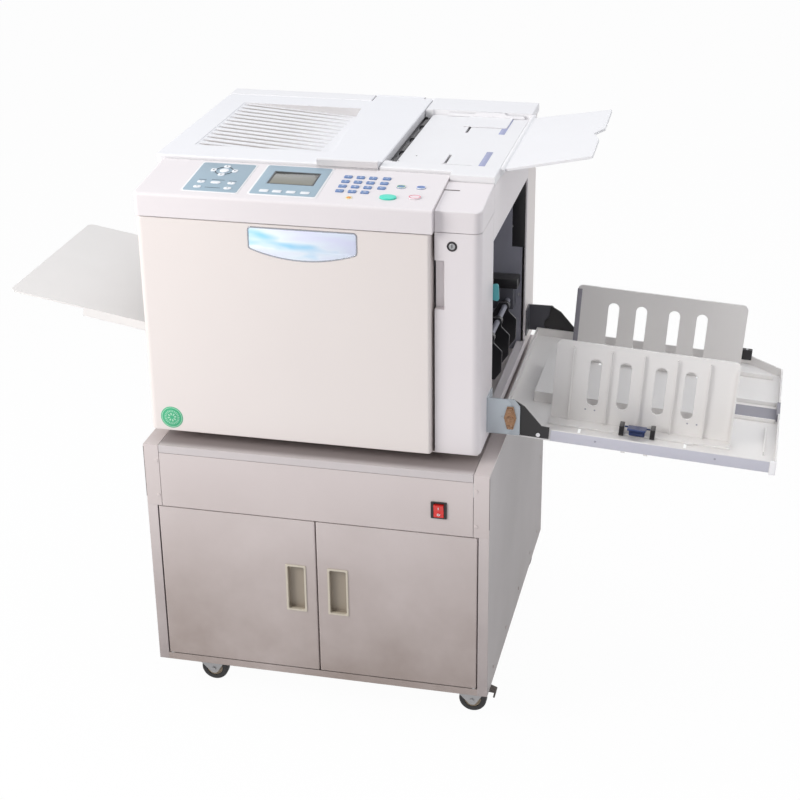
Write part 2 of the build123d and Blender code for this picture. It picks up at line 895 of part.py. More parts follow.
# Column cap, beside the console and a little lower
cap_front_z = panel_front_z - 4
cap_back_z = panel_back_z - 6
with BuildPart() as column_cap:
    with BuildSketch(cross(column_left)):
        with BuildLine():
            Polyline(
                (column_front, console_bottom),
                (column_front, cap_front_z),
                (cap_back, cap_back_z),
                (cap_back, console_bottom),
                close=True,
            )
        make_face()
    extrude(amount=body_right - column_left)
    fillet(
        column_cap.edges().filter_by(Axis.Z).sort_by_distance((body_right, column_front, 930))[0],
        column_edge_radius,
    )
    fillet(
        column_cap.edges().filter_by(Axis.X).sort_by_distance((column_left, column_front, cap_front_z))[0],
        2.5,
    )
    offset(amount=-wall, openings=column_cap.faces().sort_by(Axis.Z)[0])
column_cover.part = Part() + [column_cover.part, column_cap.part]
keep("column_cover", column_cover)

# Front door: a deep moulded tray, hung on two pins at the left
front_door_bottom = base_top + 1.5
badge_left = -103
badge_right = 81
badge_top = door_top - 5
badge_side = badge_top - 38
badge_bottom = badge_side - 17
badge_depth = 1.2
with BuildPart() as front_door:
    with BuildSketch(upright(body_front)):
        patch((body_left, front_door_right), (front_door_bottom, door_top))
    extrude(amount=-front_door_depth)
    front_uprights = front_door.edges().filter_by(Axis.Z).group_by(Axis.Y)[0]
    fillet(front_uprights.sort_by(Axis.X)[0], 12)
    fillet(front_door.edges().filter_by(Axis.Z).group_by(Axis.Y)[0].sort_by(Axis.X)[-1], 5)
    fillet(front_door.faces().sort_by(Axis.Y)[0].edges().filter_by(Axis.X), 2)
    with BuildSketch(level(front_door_bottom + wall)) as hollow:
        patch(
            (body_left + wall, front_door_right - wall),
            (body_front + wall, body_front + front_door_depth),
        )
        corner_spot = (body_left, body_front, front_door_bottom + wall)
        fillet(hollow.vertices().sort_by_distance(corner_spot)[0], 9)
    extrude(amount=door_top - front_door_bottom - 2 * wall, mode=Mode.SUBTRACT)
    rod(
        "z",
        door_hinge_radius + running_clearance,
        (door_hinge_x, door_hinge_y),
        (front_door_bottom - 1, door_top + 1),
        mode=Mode.SUBTRACT,
    )
    with BuildSketch(upright(body_front)) as badge_outline:
        with BuildLine():
            Polyline(
                (badge_left, badge_side),
                (badge_left, badge_top),
                (badge_right, badge_top),
                (badge_right, badge_side),
            )
            ThreePointArc(
                (badge_right, badge_side),
                ((badge_left + badge_right) / 2, badge_bottom),
                (badge_left, badge_side),
            )
        make_face()
        fillet(badge_outline.vertices(), 6)
    extrude(amount=-badge_depth, mode=Mode.SUBTRACT)
keep("front_door", front_door)

# Upper frame: the deck over the works, the rear strip and the rails round the document table
deck_top_z = cover_bottom - 12
deck_sheet = 4
deck_front = console_back + seam
deck_bottom_z = rear_frame_top
lid_right = 81
lid_left = body_left - cover_overhang
lid_front = console_back + 4
rail_front = cap_back + 2
lid_back = body_back - 31
tongue_left = -30
tongue_back = lid_axis_y - lid_knuckle_radius
knuckle_right = 63
ear_gap = 2
ear_radius = 10
rail_left = lid_right + ear_gap
rail_back = lid_axis_y
pocket_front = table_front - part_clearance
pocket_back = table_back + part_clearance
table_thickness = 6
tray_hinge_x = 284
tray_hinge_z = table_top + 4
tray_barrel_radius = 4.5
tray_pin_radius = 2
tray_hinge_front = 206
tray_hinge_back = table_back - 11
feeder_x = 90
feeder_z = table_top - 9
feeder_radius = 6
feeder_shaft_radius = 2.5
feeder_front = table_front + 4
feeder_back = table_back - 4
stem_width = 4
slot_width = stem_width + 2 * part_clearance

with BuildPart() as upper_frame:
    with BuildSketch(level(deck_bottom_z)) as deck_plan:
        patch((base_left, base_right), (deck_front, base_back))
        fillet(deck_plan.vertices().group_by(Axis.Y)[-1], rear_edge_radius - wall)
    extrude(amount=deck_top_z - deck_bottom_z)
    block(
        (base_left + deck_sheet, base_right - deck_sheet),
        (deck_front + deck_sheet, base_back - deck_sheet),
        (deck_bottom_z, deck_top_z - deck_sheet),
        mode=Mode.SUBTRACT,
    )
    with BuildSketch(level(deck_top_z)) as rail_plan:
        patch((base_left, tongue_left - ear_gap), (lid_back + 6, base_back))
        patch((rail_left + 4, base_right), (deck_front, base_back))
        for corner_x in (base_left, base_right):
            corner = rail_plan.vertices().sort_by_distance((corner_x, base_back, deck_top_z))[0]
            fillet(corner, rear_edge_radius - wall)
    extrude(amount=cover_bottom - deck_top_z)
    with BuildSketch(level(cover_bottom)):
        patch((lid_left, tongue_left - ear_gap), (lid_back + ear_gap, lid_axis_y))
        patch((rail_left, body_right), (lid_front, rail_back))
        patch((console_right + 2 * seam, body_right), (rail_front, lid_front))
    extrude(amount=cover_top - cover_bottom)
    fillet(upper_frame.edges().group_by(Axis.Z)[-1], 2)
    rod("x", ear_radius, (lid_axis_y, lid_axis_z), (tongue_left - ear_gap - 7, tongue_left - ear_gap))
    rod("x", ear_radius, (lid_axis_y, lid_axis_z), (knuckle_right + ear_gap, rail_left + 6))
    block(
        (table_left - part_clearance, body_right + 1),
        (pocket_front, pocket_back),
        (table_top - table_thickness, cover_top + 1),
        mode=Mode.SUBTRACT,
    )
    block(
        (rail_left - 1, table_left),
        (feeder_front - 1, feeder_back + 1),
        (deck_top_z, cover_top + 1),
        mode=Mode.SUBTRACT,
    )
    block(
        (slot_x - 3 * stem_width, slot_x + 3 * stem_width),
        (table_front + 6, table_back - 6),
        (deck_top_z + 1, table_top),
        mode=Mode.SUBTRACT,
    )
    block(
        (table_right + part_clearance, base_right),
        (pocket_front, pocket_back),
        (table_top - table_thickness, table_top),
    )
    block((base_right, body_right), (pocket_front, pocket_back), (cover_bottom, table_top))
    for near, far in (
        (tray_hinge_front - 8, tray_hinge_front - part_clearance),
        (tray_hinge_back + part_clearance, tray_hinge_back + 14),
    ):
        rod("y", tray_barrel_radius, (tray_hinge_x, tray_hinge_z), (near, far))
        block((body_right - 6, tray_hinge_x), (near, far), (cover_bottom + 2, tray_hinge_z))
        rod(
            "y",
            tray_pin_radius + running_clearance,
            (tray_hinge_x, tray_hinge_z),
            (tray_hinge_front - 5, tray_hinge_back + 5),
            mode=Mode.SUBTRACT,
        )
    rod(
        "x",
        lid_pin_radius + running_clearance / 2,
        (lid_axis_y, lid_axis_z),
        (tongue_left - 20, rail_left + 7),
        mode=Mode.SUBTRACT,
    )
    rod(
        "y",
        feeder_shaft_radius + running_clearance,
        (feeder_x, feeder_z),
        (feeder_front - 5, feeder_back + 5),
        mode=Mode.SUBTRACT,
    )
keep("upper_frame", upper_frame)

# Document table with its two side guides, the fold-over document tray and the feed roller
guide_wall = 3
guide_left = 125
guide_right = 267
guide_low = table_top + 6
guide_high = cover_top
guide_hump = (175, 234)
guide_near_y = table_front + 2
guide_far_y = table_back - 2 - guide_wall
near_foot = 25
far_foot = 69
foot_sheet = 1.5
near_stem_y = guide_near_y + 15
far_stem_y = guide_far_y - 30
stem_length = 8

with BuildPart() as document_table:
    block((table_left, table_right), (table_front, table_back), (table_top - table_thickness, table_top))
    for start, end in (
        (near_stem_y - stem_length, near_stem_y + guide_travel + stem_length),
        (far_stem_y - guide_travel - stem_length, far_stem_y + stem_length),
    ):
        block(
            (slot_x - slot_width / 2, slot_x + slot_width / 2),
            (start, end),
            (table_top - table_thickness - 1, table_top + 1),
            mode=Mode.SUBTRACT,
        )
keep("document_table", document_table)

for name, wall_y, foot, stem_y in (
    ("near", guide_near_y, (guide_near_y, guide_near_y + near_foot), near_stem_y),
    ("far", guide_far_y, (guide_far_y + guide_wall - far_foot, guide_far_y + guide_wall), far_stem_y),
):
    foot_bottom = table_top + part_clearance
    with BuildPart() as guide:
        with BuildSketch(upright(wall_y)) as guide_profile:
            with BuildLine():
                Polyline(
                    (guide_left, foot_bottom),
                    (guide_left, guide_low),
                    (guide_hump[0], guide_low),
                    (guide_hump[0] + 4, guide_high),
                    (guide_hump[1] - 4, guide_high),
                    (guide_hump[1], guide_low),
                    (guide_right, guide_low),
                    (guide_right, foot_bottom),
                    close=True,
                )
            make_face()
        extrude(amount=-guide_wall)
        block((guide_hump[0] - 8, guide_hump[1] + 12), foot, (foot_bottom, foot_bottom + foot_sheet))
        block(
            (slot_x - stem_width / 2, slot_x + stem_width / 2),
            (stem_y - stem_length / 2, stem_y + stem_length / 2),
            (table_top - table_thickness - part_clearance - 2, foot_bottom),
        )
        block(
            (slot_x - 2 * stem_width, slot_x + 2 * stem_width),
            (stem_y - stem_length / 2, stem_y + stem_length / 2),
            (table_top - table_thickness - part_clearance - 2, table_top - table_thickness - part_clearance),
        )
    keep("document_guide_" + name, guide)

leaf_plane = Plane(
    origin=(tray_hinge_x, 0, tray_hinge_z),
    x_dir=(cos(radians(document_tray_rise)), 0, sin(radians(document_tray_rise))),
    z_dir=(-sin(radians(document_tray_rise)), 0, cos(radians(document_tray_rise))),
)
leaf_sheet = 4
leaf_near = pocket_front + 1.4
with BuildPart() as document_tray:
    with BuildSketch(level(-leaf_sheet / 2, leaf_plane)) as leaf:
        with BuildLine():
            Polyline(
                (0, tray_hinge_front),
                (tray_barrel_radius + 2, tray_hinge_front),
                (tray_barrel_radius + 6, leaf_near),
                (151, leaf_near),
                (149, 306),
                (135.5, 350),
                (152, 372),
                (149, tray_hinge_back - 29),
                (2 * tray_barrel_radius, tray_hinge_back - 4),
                (0, tray_hinge_back),
                close=True,
            )
        make_face()
        fillet(leaf.vertices().filter_by(lambda corner: corner.X > tray_hinge_x + 100), 7)
    extrude(amount=leaf_sheet)
    rod("y", tray_barrel_radius, (0, 0), (tray_hinge_front, tray_hinge_back), base=leaf_plane)
    rod("y", tray_pin_radius, (0, 0), (tray_hinge_front - 4.5, tray_hinge_back + 4.5), base=leaf_plane)
keep("document_tray", document_tray)

with BuildPart() as feeder_roller:
    rod("y", feeder_shaft_radius, (feeder_x, feeder_z), (feeder_front - 4.5, feeder_back + 4.5))
    roller_pitch = (feeder_back - feeder_front) / 4
    for step in range(4):
        start = feeder_front + roller_pitch * step + roller_pitch / 4
        rod("y", feeder_radius, (feeder_x, feeder_z), (start, start + roller_pitch / 2))
keep("feeder_roller", feeder_roller)

# Top cover: a hinged shell with a grooved ramp sunk into it
lip_left = -24
lip_front = console_back + 1
lip_top = cover_top + 9
groove_width = 10
recess_flare = 24
ramp_left_depth = 0.6
groove_depth = 7
with BuildPart() as top_cover:
    with BuildSketch(level(cover_bottom)) as lid_plan:
        patch((lid_left, lid_right), (lid_front, lid_back))
        patch((tongue_left, lid_right), (lid_back - 1, tongue_back))
        patch((tongue_left, knuckle_right), (tongue_back - 1, lid_axis_y - 6))
    extrude(amount=cover_top - cover_bottom)
    fillet(top_cover.edges().filter_by(Axis.Z).group_by(Axis.X)[0], 9)
    fillet(top_cover.edges().group_by(Axis.Z)[-1], 2.5)
    block(
        (lid_left + wall, lid_right - wall),
        (lid_front + wall, lid_back - wall),
        (cover_bottom, cover_top - wall),
        mode=Mode.SUBTRACT,
    )
    with BuildSketch(cross(lip_left)):
        with BuildLine():
            Polyline(
                (lip_front, cover_top - 3),
                (lip_front, lip_top - 2),
                (lip_front + 3, lip_top),
                (lip_front + 30, cover_top),
                (lid_front + 4, cover_top - 3),
                close=True,
            )
        make_face()
    extrude(amount=lid_right - lip_left)
    rod("x", lid_knuckle_radius, (lid_axis_y, lid_axis_z), (tongue_left, knuckle_right))
    rod(
        "x",
        lid_pin_radius + running_clearance,
        (lid_axis_y, lid_axis_z),
        (tongue_left - 1, knuckle_right + 1),
        mode=Mode.SUBTRACT,
    )
    tub_bottom = cover_top - recess_depth - 2.5
    with BuildSketch(level(tub_bottom)):
        with BuildLine():
            Polyline(
                (recess_left - wall, recess_front - wall),
                (recess_left - wall, recess_back + wall),
                (recess_right + wall, recess_back + wall),
                (recess_right + recess_flare + wall, recess_front - wall),
                close=True,
            )
        make_face()
    extrude(amount=cover_top - wall - tub_bottom)
    with BuildPart(mode=Mode.PRIVATE) as ramp_space:
        with BuildSketch(level(cover_top + 1)):
            with BuildLine():
                Polyline(
                    (recess_left, recess_front),
                    (recess_left, recess_back),
                    (recess_right, recess_back),
                    (recess_right + recess_flare, recess_front),
                    close=True,
                )
            make_face()
        extrude(amount=-recess_depth - 1)
        with BuildSketch(upright(recess_front - 1)):
            with BuildLine():
                Polyline(
                    (recess_left - 1, cover_top - recess_depth - 1),
                    (recess_left - 1, cover_top - ramp_left_depth),
                    (recess_right, cover_top - recess_depth),
                    (recess_right, cover_top - recess_depth - 1),
                    close=True,
                )
            make_face()
        extrude(amount=-(recess_back - recess_front + 2), mode=Mode.SUBTRACT)
    add(ramp_space.part, mode=Mode.SUBTRACT)
    groove_pitch = (recess_back - recess_front) / groove_count
    for step in range(groove_count):
        groove_y = recess_front + groove_pitch * (step + 0.5)
        with BuildSketch(upright(groove_y - groove_width / 2)):
            with BuildLine():
                Polyline(
                    (recess_left + 4, cover_top),
                    (recess_left + 4, cover_top - ramp_left_depth - 1),
                    (recess_left + 22, cover_top - ramp_left_depth - groove_depth),
                    (recess_right - 14, cover_top - recess_depth),
                    (recess_right - 14, cover_top),
                    close=True,
                )
            make_face()
        extrude(amount=-groove_width, mode=Mode.SUBTRACT)
keep("top_cover", top_cover)

# Hinge pins: four for the cabinet doors, two for the front door and one for the top cover
with BuildPart() as hinge_pins:
    for side in (-1, 1):
        place = (side * pin_x, pin_y)
        rod("z", door_pin_radius, place, (cabinet_bottom + sheet, door_bottom_z + 4 * sheet))
        rod("z", 2 * door_pin_radius, place, (sill_top + 0.3, door_bottom_z - 0.3))
        rod("z", door_pin_radius, place, (door_top_z - 5 * sheet, fascia_bottom + 2 * sheet))
        rod("z", door_pin_radius + 0.25, place, (fascia_bottom + sheet, fascia_bottom + 2 * sheet))
    place = (door_hinge_x, door_hinge_y)
    rod("z", door_hinge_radius, place, (base_top, front_door_bottom + 20))
    rod("z", door_hinge_radius, place, (door_top - 18, console_bottom + wall))
    rod("x", lid_pin_radius, (lid_axis_y, lid_axis_z), (tongue_left - 18, rail_left + 5))
keep("hinge_pins", hinge_pins)

# Print drum, its gear, and the motor whose pinion drives it
drum_wall = 3
shaft_end = rear_frame_y + frame_sheet + 14
gear_front = rear_frame_y + frame_sheet + 3
gear_distance = gear_module * (gear_teeth + pinion_teeth) / 2
pinion_x = drum_x + gear_distance * cos(radians(pinion_angle))
pinion_z = drum_z + gear_distance * sin(radians(pinion_angle))
pressure_angle = radians(20)
gear_backlash = 0.25
motor_plate_y = gear_front + gear_face + 5
motor_radius = 28
motor_length = 60
motor_plate_radius = 42
post_reach = 36

with BuildPart() as print_drum:
    rod("y", drum_radius, (drum_x, drum_z), (drum_front, drum_back))
    rod("y", drum_radius - drum_wall, (drum_x, drum_z), (drum_front + 4, drum_back - 4), mode=Mode.SUBTRACT)
    with BuildSketch(upright(drum_front - 1)):
        with Locations((drum_x, drum_z)):
            with PolarLocations(drum_radius * 0.55, 3):
                Circle(drum_radius * 0.22)
    extrude(amount=-(drum_back - drum_front + 2), mode=Mode.SUBTRACT)
    rod("y", drum_shaft_radius, (drum_x, drum_z), (front_frame_y - 4, shaft_end))
keep("print_drum", print_drum)


def gear_outline(teeth, middle, phase):
    """Corner points of an involute spur gear round the middle, with one tooth at the phase angle."""
    pitch_radius = gear_module * teeth / 2
    base_radius = pitch_radius * cos(pressure_angle)
    tip_radius = pitch_radius + gear_module
    root_radius = pitch_radius - 1.25 * gear_module
    start_radius = max(base_radius, root_radius)
    half_tooth = pi / (2 * teeth) - gear_backlash / (2 * pitch_radius)
    flank = []
    for step in range(4):
        radius = start_radius + (tip_radius - start_radius) * step / 3
        roll = sqrt((radius / base_radius) ** 2 - 1)
        unwound = roll - atan(roll)
        half = half_tooth + tan(pressure_angle) - pressure_angle - unwound
        flank.append((radius, half))
    points = []
    for tooth in range(teeth):
        centre = radians(phase) + 2 * pi * tooth / teeth
        root = [(root_radius, flank[0][1])] if base_radius > root_radius else []
        half_outline = root + flank
        rising = [(radius, -half) for radius, half in half_outline]
        falling = [(radius, half) for radius, half in reversed(half_outline)]
        for radius, turn in rising + falling:
            angle = centre + turn
            points.append((middle[0] + radius * cos(angle), middle[1] + radius * sin(angle)))
    return points


with BuildPart() as drum_gear:
    with BuildSketch(upright(gear_front)):
        with BuildLine():
            Polyline(*gear_outline(gear_teeth, (drum_x, drum_z), pinion_angle), close=True)
        make_face()
        with Locations((drum_x, drum_z)):
            Circle(drum_shaft_radius, mode=Mode.SUBTRACT)
            with PolarLocations(0.55 * gear_module * gear_teeth / 2, 5):
                Circle(9, mode=Mode.SUBTRACT)
    extrude(amount=-gear_face)
keep("drum_gear", drum_gear)

with BuildPart() as drive_pinion:
    with BuildSketch(upright(gear_front)):
        with BuildLine():
            phase = pinion_angle + 180 + 180 / pinion_teeth
            Polyline(*gear_outline(pinion_teeth, (pinion_x, pinion_z), phase), close=True)
        make_face()
    extrude(amount=-gear_face)
    rod("y", pinion_shaft_radius, (pinion_x, pinion_z), (gear_front, motor_plate_y + 0.6 * motor_length))
keep("drive_pinion", drive_pinion)

with BuildPart() as drive_motor:
    rod("y", motor_plate_radius, (pinion_x, pinion_z), (motor_plate_y, motor_plate_y + 2))
    rod("y", motor_radius, (pinion_x, pinion_z), (motor_plate_y, motor_plate_y + motor_length))
    for angle in (pinion_angle - 60, pinion_angle, pinion_angle + 60):
        post_x = pinion_x + post_reach * cos(radians(angle))
        post_z = pinion_z + post_reach * sin(radians(angle))
        rod("y", 4, (post_x, post_z), (rear_frame_y + frame_sheet, motor_plate_y))
    rod(
        "y",
        pinion_shaft_radius + running_clearance,
        (pinion_x, pinion_z),
        (motor_plate_y - 1, motor_plate_y + 0.6 * motor_length + 0.5),
        mode=Mode.SUBTRACT,
    )
keep("drive_motor", drive_motor)

with BuildPart() as press_roller:
    rod("y", press_roller_radius, (drum_x, press_roller_z), (drum_front + 10, drum_back - 10))
    rod(
        "y",
        press_shaft_radius,
        (drum_x, press_roller_z),
        (front_frame_y - 4, rear_frame_y + frame_sheet + 2),
    )
keep("press_roller", press_roller)

with BuildPart() as pickup_roller:
    middle_y = (front_frame_y + rear_frame_y) / 2
    rod("y", pickup_radius, (pickup_x, pickup_z), (middle_y - 40, middle_y + 40))
    rod(
        "y",
        pickup_shaft_radius,
        (pickup_x, pickup_z),
        (front_frame_y - 4, rear_frame_y + frame_sheet + 2),
    )
keep("pickup_roller", pickup_roller)

# Delivery side: paper wings on their bar, the release lever, and the plate the wings hang before
wing_sheet = 2
wing_pitch = 0.204 * (rear_frame_y - front_frame_y)
wing_first_y = front_frame_y + 0.424 * (rear_frame_y - front_frame_y)
with BuildPart() as delivery_wings:
    for step in range(3):
        wing_y = wing_first_y + wing_pitch * step
        with BuildSketch(upright(wing_y)) as wing:
            with BuildLine():
                Polyline(
                    (wing_bar_x - 10, wing_bar_z + 9),
                    (wing_bar_x + 8, wing_bar_z + 9),
                    (wing_bar_x + 8, 624),
                    (275, 609),
                    (274, 570),
                    (262, 552),
                    (wing_bar_x - 32, 560),
                    (wing_bar_x - 32, 600),
                    close=True,
                )
            make_face()
            fillet(wing.vertices(), 4)
        extrude(amount=-wing_sheet)
        rod("y", 1.8 * wing_bar_radius, (wing_bar_x, wing_bar_z), (wing_y, wing_y + 12))
    rod("y", wing_bar_radius, (wing_bar_x, wing_bar_z), (0, cabinet_depth), mode=Mode.SUBTRACT)
keep("delivery_wings", delivery_wings)

lever_sheet = 3
lever_y = opening_front + 3
with BuildPart() as release_lever:
    with BuildSketch(upright(lever_y)) as lever_plan:
        with Locations((lever_x, lever_z)):
            Circle(2 * lever_stud_radius)
        with Locations((lever_x + 28, lever_z + 11), (lever_x + 29, lever_z - 11)):
            Circle(4)
        make_hull()
        with Locations((lever_x, lever_z)):
            Circle(lever_stud_radius + running_clearance, mode=Mode.SUBTRACT)
    extrude(amount=-lever_sheet)
keep("release_lever", release_lever)

# Feed side: the elevator that lifts the paper, and the feed tray that folds against the machine
carriage_gap = 1
carriage_sheet = 3
stub_radius = 4
platform_left = -310
platform_right = -236
feed_top = 8
platform_top = feed_axis_z + feed_top - 1
with BuildPart() as feed_elevator:
    near_plate = (
        front_frame_y + frame_sheet + carriage_gap,
        front_frame_y + frame_sheet + carriage_gap + carriage_sheet,
    )
    far_plate = (rear_frame_y - carriage_gap - carriage_sheet, rear_frame_y - carriage_gap)
    for plate_y in (near_plate, far_plate):
        with BuildSketch(upright(plate_y[0])) as plate:
            patch((feed_axis_x - 8, platform_right + 4), (feed_axis_z - 27, feed_axis_z + 23))
            fillet(plate.vertices(), 7)
            with Locations((feed_axis_x, feed_axis_z)):
                Circle(stub_radius + running_clearance, mode=Mode.SUBTRACT)
        extrude(amount=-carriage_sheet)
    for stud in ((front_frame_y - 2, near_plate[0]), (far_plate[1], rear_frame_y + frame_sheet + 2)):
        rod("y", elevator_stud_radius, (elevator_stud_x, elevator_stud_z), stud)
    block((platform_left, platform_right), (near_plate[1], far_plate[0]), (platform_top - 3, platform_top))
    for edge_x in (platform_left, platform_right - 3):
        block((edge_x, edge_x + 3), (near_plate[1], far_plate[0]), (platform_top - 18, platform_top))
keep("feed_elevator", feed_elevator)

feed_plane = Plane(
    origin=(feed_axis_x, 0, feed_axis_z),
    x_dir=(cos(radians(feed_rise)), 0, -sin(radians(feed_rise))),
    z_dir=(sin(radians(feed_rise)), 0, cos(radians(feed_rise))),
)
feed_sheet = 2.5
pan_wall = 2.5
with BuildPart() as feed_tray:
    with BuildSketch(level(feed_top - feed_sheet, feed_plane)) as feed_plate:
        patch((-feed_length, feed_top), (feed_near, feed_far))
        fillet(feed_plate.vertices().group_by(Axis.X)[0], 12)
    extrude(amount=feed_sheet)
    block(
        (-feed_pan_length, feed_top),
        (feed_near, feed_far),
        (-feed_top, feed_top - feed_sheet),
        base=feed_plane,
    )
    block(
        (-feed_pan_length + pan_wall, feed_top - pan_wall),
        (feed_near + pan_wall, feed_far - pan_wall),
        (-feed_top + pan_wall, feed_top - feed_sheet),
        base=feed_plane,
        mode=Mode.SUBTRACT,
    )
    rod("y", stub_radius, (0, 0), (near_plate[0] - 0.5, feed_near + 1), base=feed_plane)
    rod("y", stub_radius, (0, 0), (feed_far - 1, far_plate[1] + 0.5), base=feed_plane)
keep("feed_tray", feed_tray)

# Output side: brackets on the body, the folding tray on its arms, and the two standing fences
bracket_sheet = 2.5
near_bracket = (tray_near - 6, tray_near - 6 + bracket_sheet)
far_bracket = (tray_far + 3.5, tray_far + 3.5 + bracket_sheet)
arm_sheet = 2.7
with BuildPart() as tray_brackets:
    for (near, far), flange, low, high in (
        (near_bracket, (near_bracket[1], near_bracket[1] + 40), 537, 602),
        (far_bracket, (far_bracket[0] - 32, far_bracket[0]), 548, 600),
    ):
        with BuildSketch(upright(near)) as bracket_profile:
            with BuildLine():
                Polyline(
                    (body_right, low),
                    (tray_axis_x + 11, low),
                    (tray_axis_x + 11, high - 12),
                    (tray_axis_x + 1, high),
                    (body_right, high),
                    close=True,
                )
            make_face()
            fillet(bracket_profile.vertices().group_by(Axis.X)[-1], 2.5)
            with Locations((tray_axis_x, tray_axis_z)):
                Circle(stub_radius + running_clearance, mode=Mode.SUBTRACT)
        extrude(amount=-bracket_sheet)
        block((body_right, body_right + bracket_sheet), flange, (low, high))
keep("tray_brackets", tray_brackets)

tray_plane = Plane(
    origin=(tray_axis_x, 0, tray_axis_z),
    x_dir=(cos(radians(tray_droop)), 0, -sin(radians(tray_droop))),
    z_dir=(sin(radians(tray_droop)), 0, cos(radians(tray_droop))),
)
near_arm = (tray_near - arm_sheet, tray_near)
far_arm = (tray_far, tray_far + arm_sheet)
with BuildPart() as tray_arms:
    for (near, far), pin in (
        (near_arm, (near_bracket[0] - 1, near_arm[0])),
        (far_arm, (far_arm[1], far_bracket[1] + 1)),
    ):
        with BuildSketch(upright(near, tray_plane)) as arm_profile:
            with BuildLine():
                Polyline(
                    (-6, -26), (61.5, -26), (61.5, -5), (48, -4.5), (16, 28), (-4, 38), close=True
                )
            make_face()
            with Locations((0, 0)):
                Circle(14)
        extrude(amount=-arm_sheet)
        rod("y", stub_radius, (0, 0), pin, base=tray_plane)
keep("tray_arms", tray_arms)

rail_top = rail_bottom + rail_height
floor_sheet = 2.5
corner_cut = (60, 45)
hill_start = 15
hill_end = 345
hill_near = fence_near_y + 55
hill_far = fence_far_y - 55
hill_top = -4
channel_near = (tray_near + tray_far) / 2 - 25
channel_far = channel_near + 50
fence_slots = (fence_start + 55, fence_start + 235)


def tray_slab(low, high, inset, mode=Mode.ADD):
    """The output tray's outline, drawn in by inset and raised between two heights."""
    with BuildSketch(level(low, tray_plane)) as slab:
        with BuildLine():
            Polyline(
                (tray_inner + inset, tray_near + inset),
                (tray_outer - inset, tray_near + inset),
                (tray_outer - inset, tray_far - corner_cut[1] - inset / 2),
                (tray_outer - corner_cut[0] - inset / 2, tray_far - inset),
                (tray_inner + inset, tray_far - inset),
                close=True,
            )
        make_face()
    extrude(slab.sketch, amount=high - low, mode=mode)


with BuildPart() as output_tray:
    tray_slab(rail_bottom, rail_top, 0)
    tray_slab(tray_floor_top, rail_top + 1, wall, mode=Mode.SUBTRACT)
    tray_slab(rail_bottom - 1, tray_floor_top - floor_sheet, wall, mode=Mode.SUBTRACT)
    block((hill_start, hill_end), (hill_near, hill_far), (tray_floor_top, hill_top), base=tray_plane)
    block(
        (hill_start + wall, hill_end - wall),
        (hill_near + wall, hill_far - wall),
        (rail_bottom, hill_top - wall),
        base=tray_plane,
        mode=Mode.SUBTRACT,
    )
    block(
        (hill_end - 1, tray_outer + 1),
        (channel_near, channel_far),
        (tray_floor_top, rail_top + 1),
        base=tray_plane,
        mode=Mode.SUBTRACT,
    )
    for fence_y, side in ((fence_near_y, 1), (fence_far_y, -1)):
        stem_y = fence_y - side * fence_foot / 2
        ends = sorted((stem_y - side * (fence_travel_out + 7), stem_y + side * (fence_travel_in + 7)))
        for slot_u in fence_slots:
            block(
                (slot_u - slot_width / 2, slot_u + slot_width / 2),
                ends,
                (rail_bottom, tray_floor_top + 1),
                base=tray_plane,
                mode=Mode.SUBTRACT,
            )
keep("output_tray", output_tray)

fence_bottom = tray_floor_top + part_clearance
fence_top = fence_bottom + fence_height
fence_end = fence_start + fence_length
window_centres = (69, 120, 180, 230)
for name, fence_y, side in (("near", fence_near_y, 1), ("far", fence_far_y, -1)):
    inner_face = fence_y
    outer_face = fence_y - side * fence_sheet
    sheet_span = sorted((inner_face, outer_face))
    foot_span = sorted((inner_face, inner_face - side * fence_foot))
    stem_y = fence_y - side * fence_foot / 2
    shoe_top = tray_floor_top - floor_sheet - part_clearance
    with BuildPart() as fence:
        with BuildSketch(upright(sheet_span[0], tray_plane)) as fence_profile:
            patch((fence_start, fence_end), (fence_bottom, fence_top))
            fillet(fence_profile.vertices().group_by(Axis.Z)[-1], 10)
        extrude(amount=-fence_sheet)
        with BuildSketch(upright(sheet_span[0] - 1, tray_plane)):
            for centre in window_centres:
                with Locations((fence_start + centre, fence_bottom + 0.52 * fence_height)):
                    SlotOverall(88, 20, rotation=90)
        extrude(amount=-(fence_sheet + 2), mode=Mode.SUBTRACT)
        block(
            (fence_start, fence_end),
            foot_span,
            (fence_bottom, fence_bottom + fence_sheet),
            base=tray_plane,
        )
        end_span = sorted((inner_face, inner_face - side * 14))
        block(
            (fence_end - fence_sheet, fence_end),
            end_span,
            (fence_bottom, fence_top - 10),
            base=tray_plane,
        )
        rib_span = sorted((inner_face, inner_face - side * 8))
        for rib in (30, 94, 150, 205, 260):
            block(
                (fence_start + rib - 1, fence_start + rib + 1),
                rib_span,
                (fence_bottom, fence_top - 10),
                base=tray_plane,
            )
        for slot_u in fence_slots:
            block(
                (slot_u - stem_width / 2, slot_u + stem_width / 2),
                (stem_y - 5, stem_y + 5),
                (shoe_top - 2, fence_bottom),
                base=tray_plane,
            )
            block(
                (slot_u - 2 * stem_width, slot_u + 2 * stem_width),
                (stem_y - 5, stem_y + 5),
                (shoe_top - 2, shoe_top),
                base=tray_plane,
            )
        if name == "near":
            for ear_u in (lock_u - lock_ear_reach - lock_ear_width, lock_u + lock_ear_reach):
                block(
                    (ear_u, ear_u + lock_ear_width),
                    (lock_pivot_y - 5, lock_pivot_y + 5),
                    (fence_bottom, lock_pivot_w + 4),
                    base=tray_plane,
                )
            rod(
                "x",
                lock_pin_radius + running_clearance,
                (lock_pivot_y, lock_pivot_w),
                (lock_u - lock_ear_reach - 2 * lock_ear_width, lock_u + lock_ear_reach + 2 * lock_ear_width),
                base=tray_plane,
                mode=Mode.SUBTRACT,
            )
    keep("fence_" + name, fence)

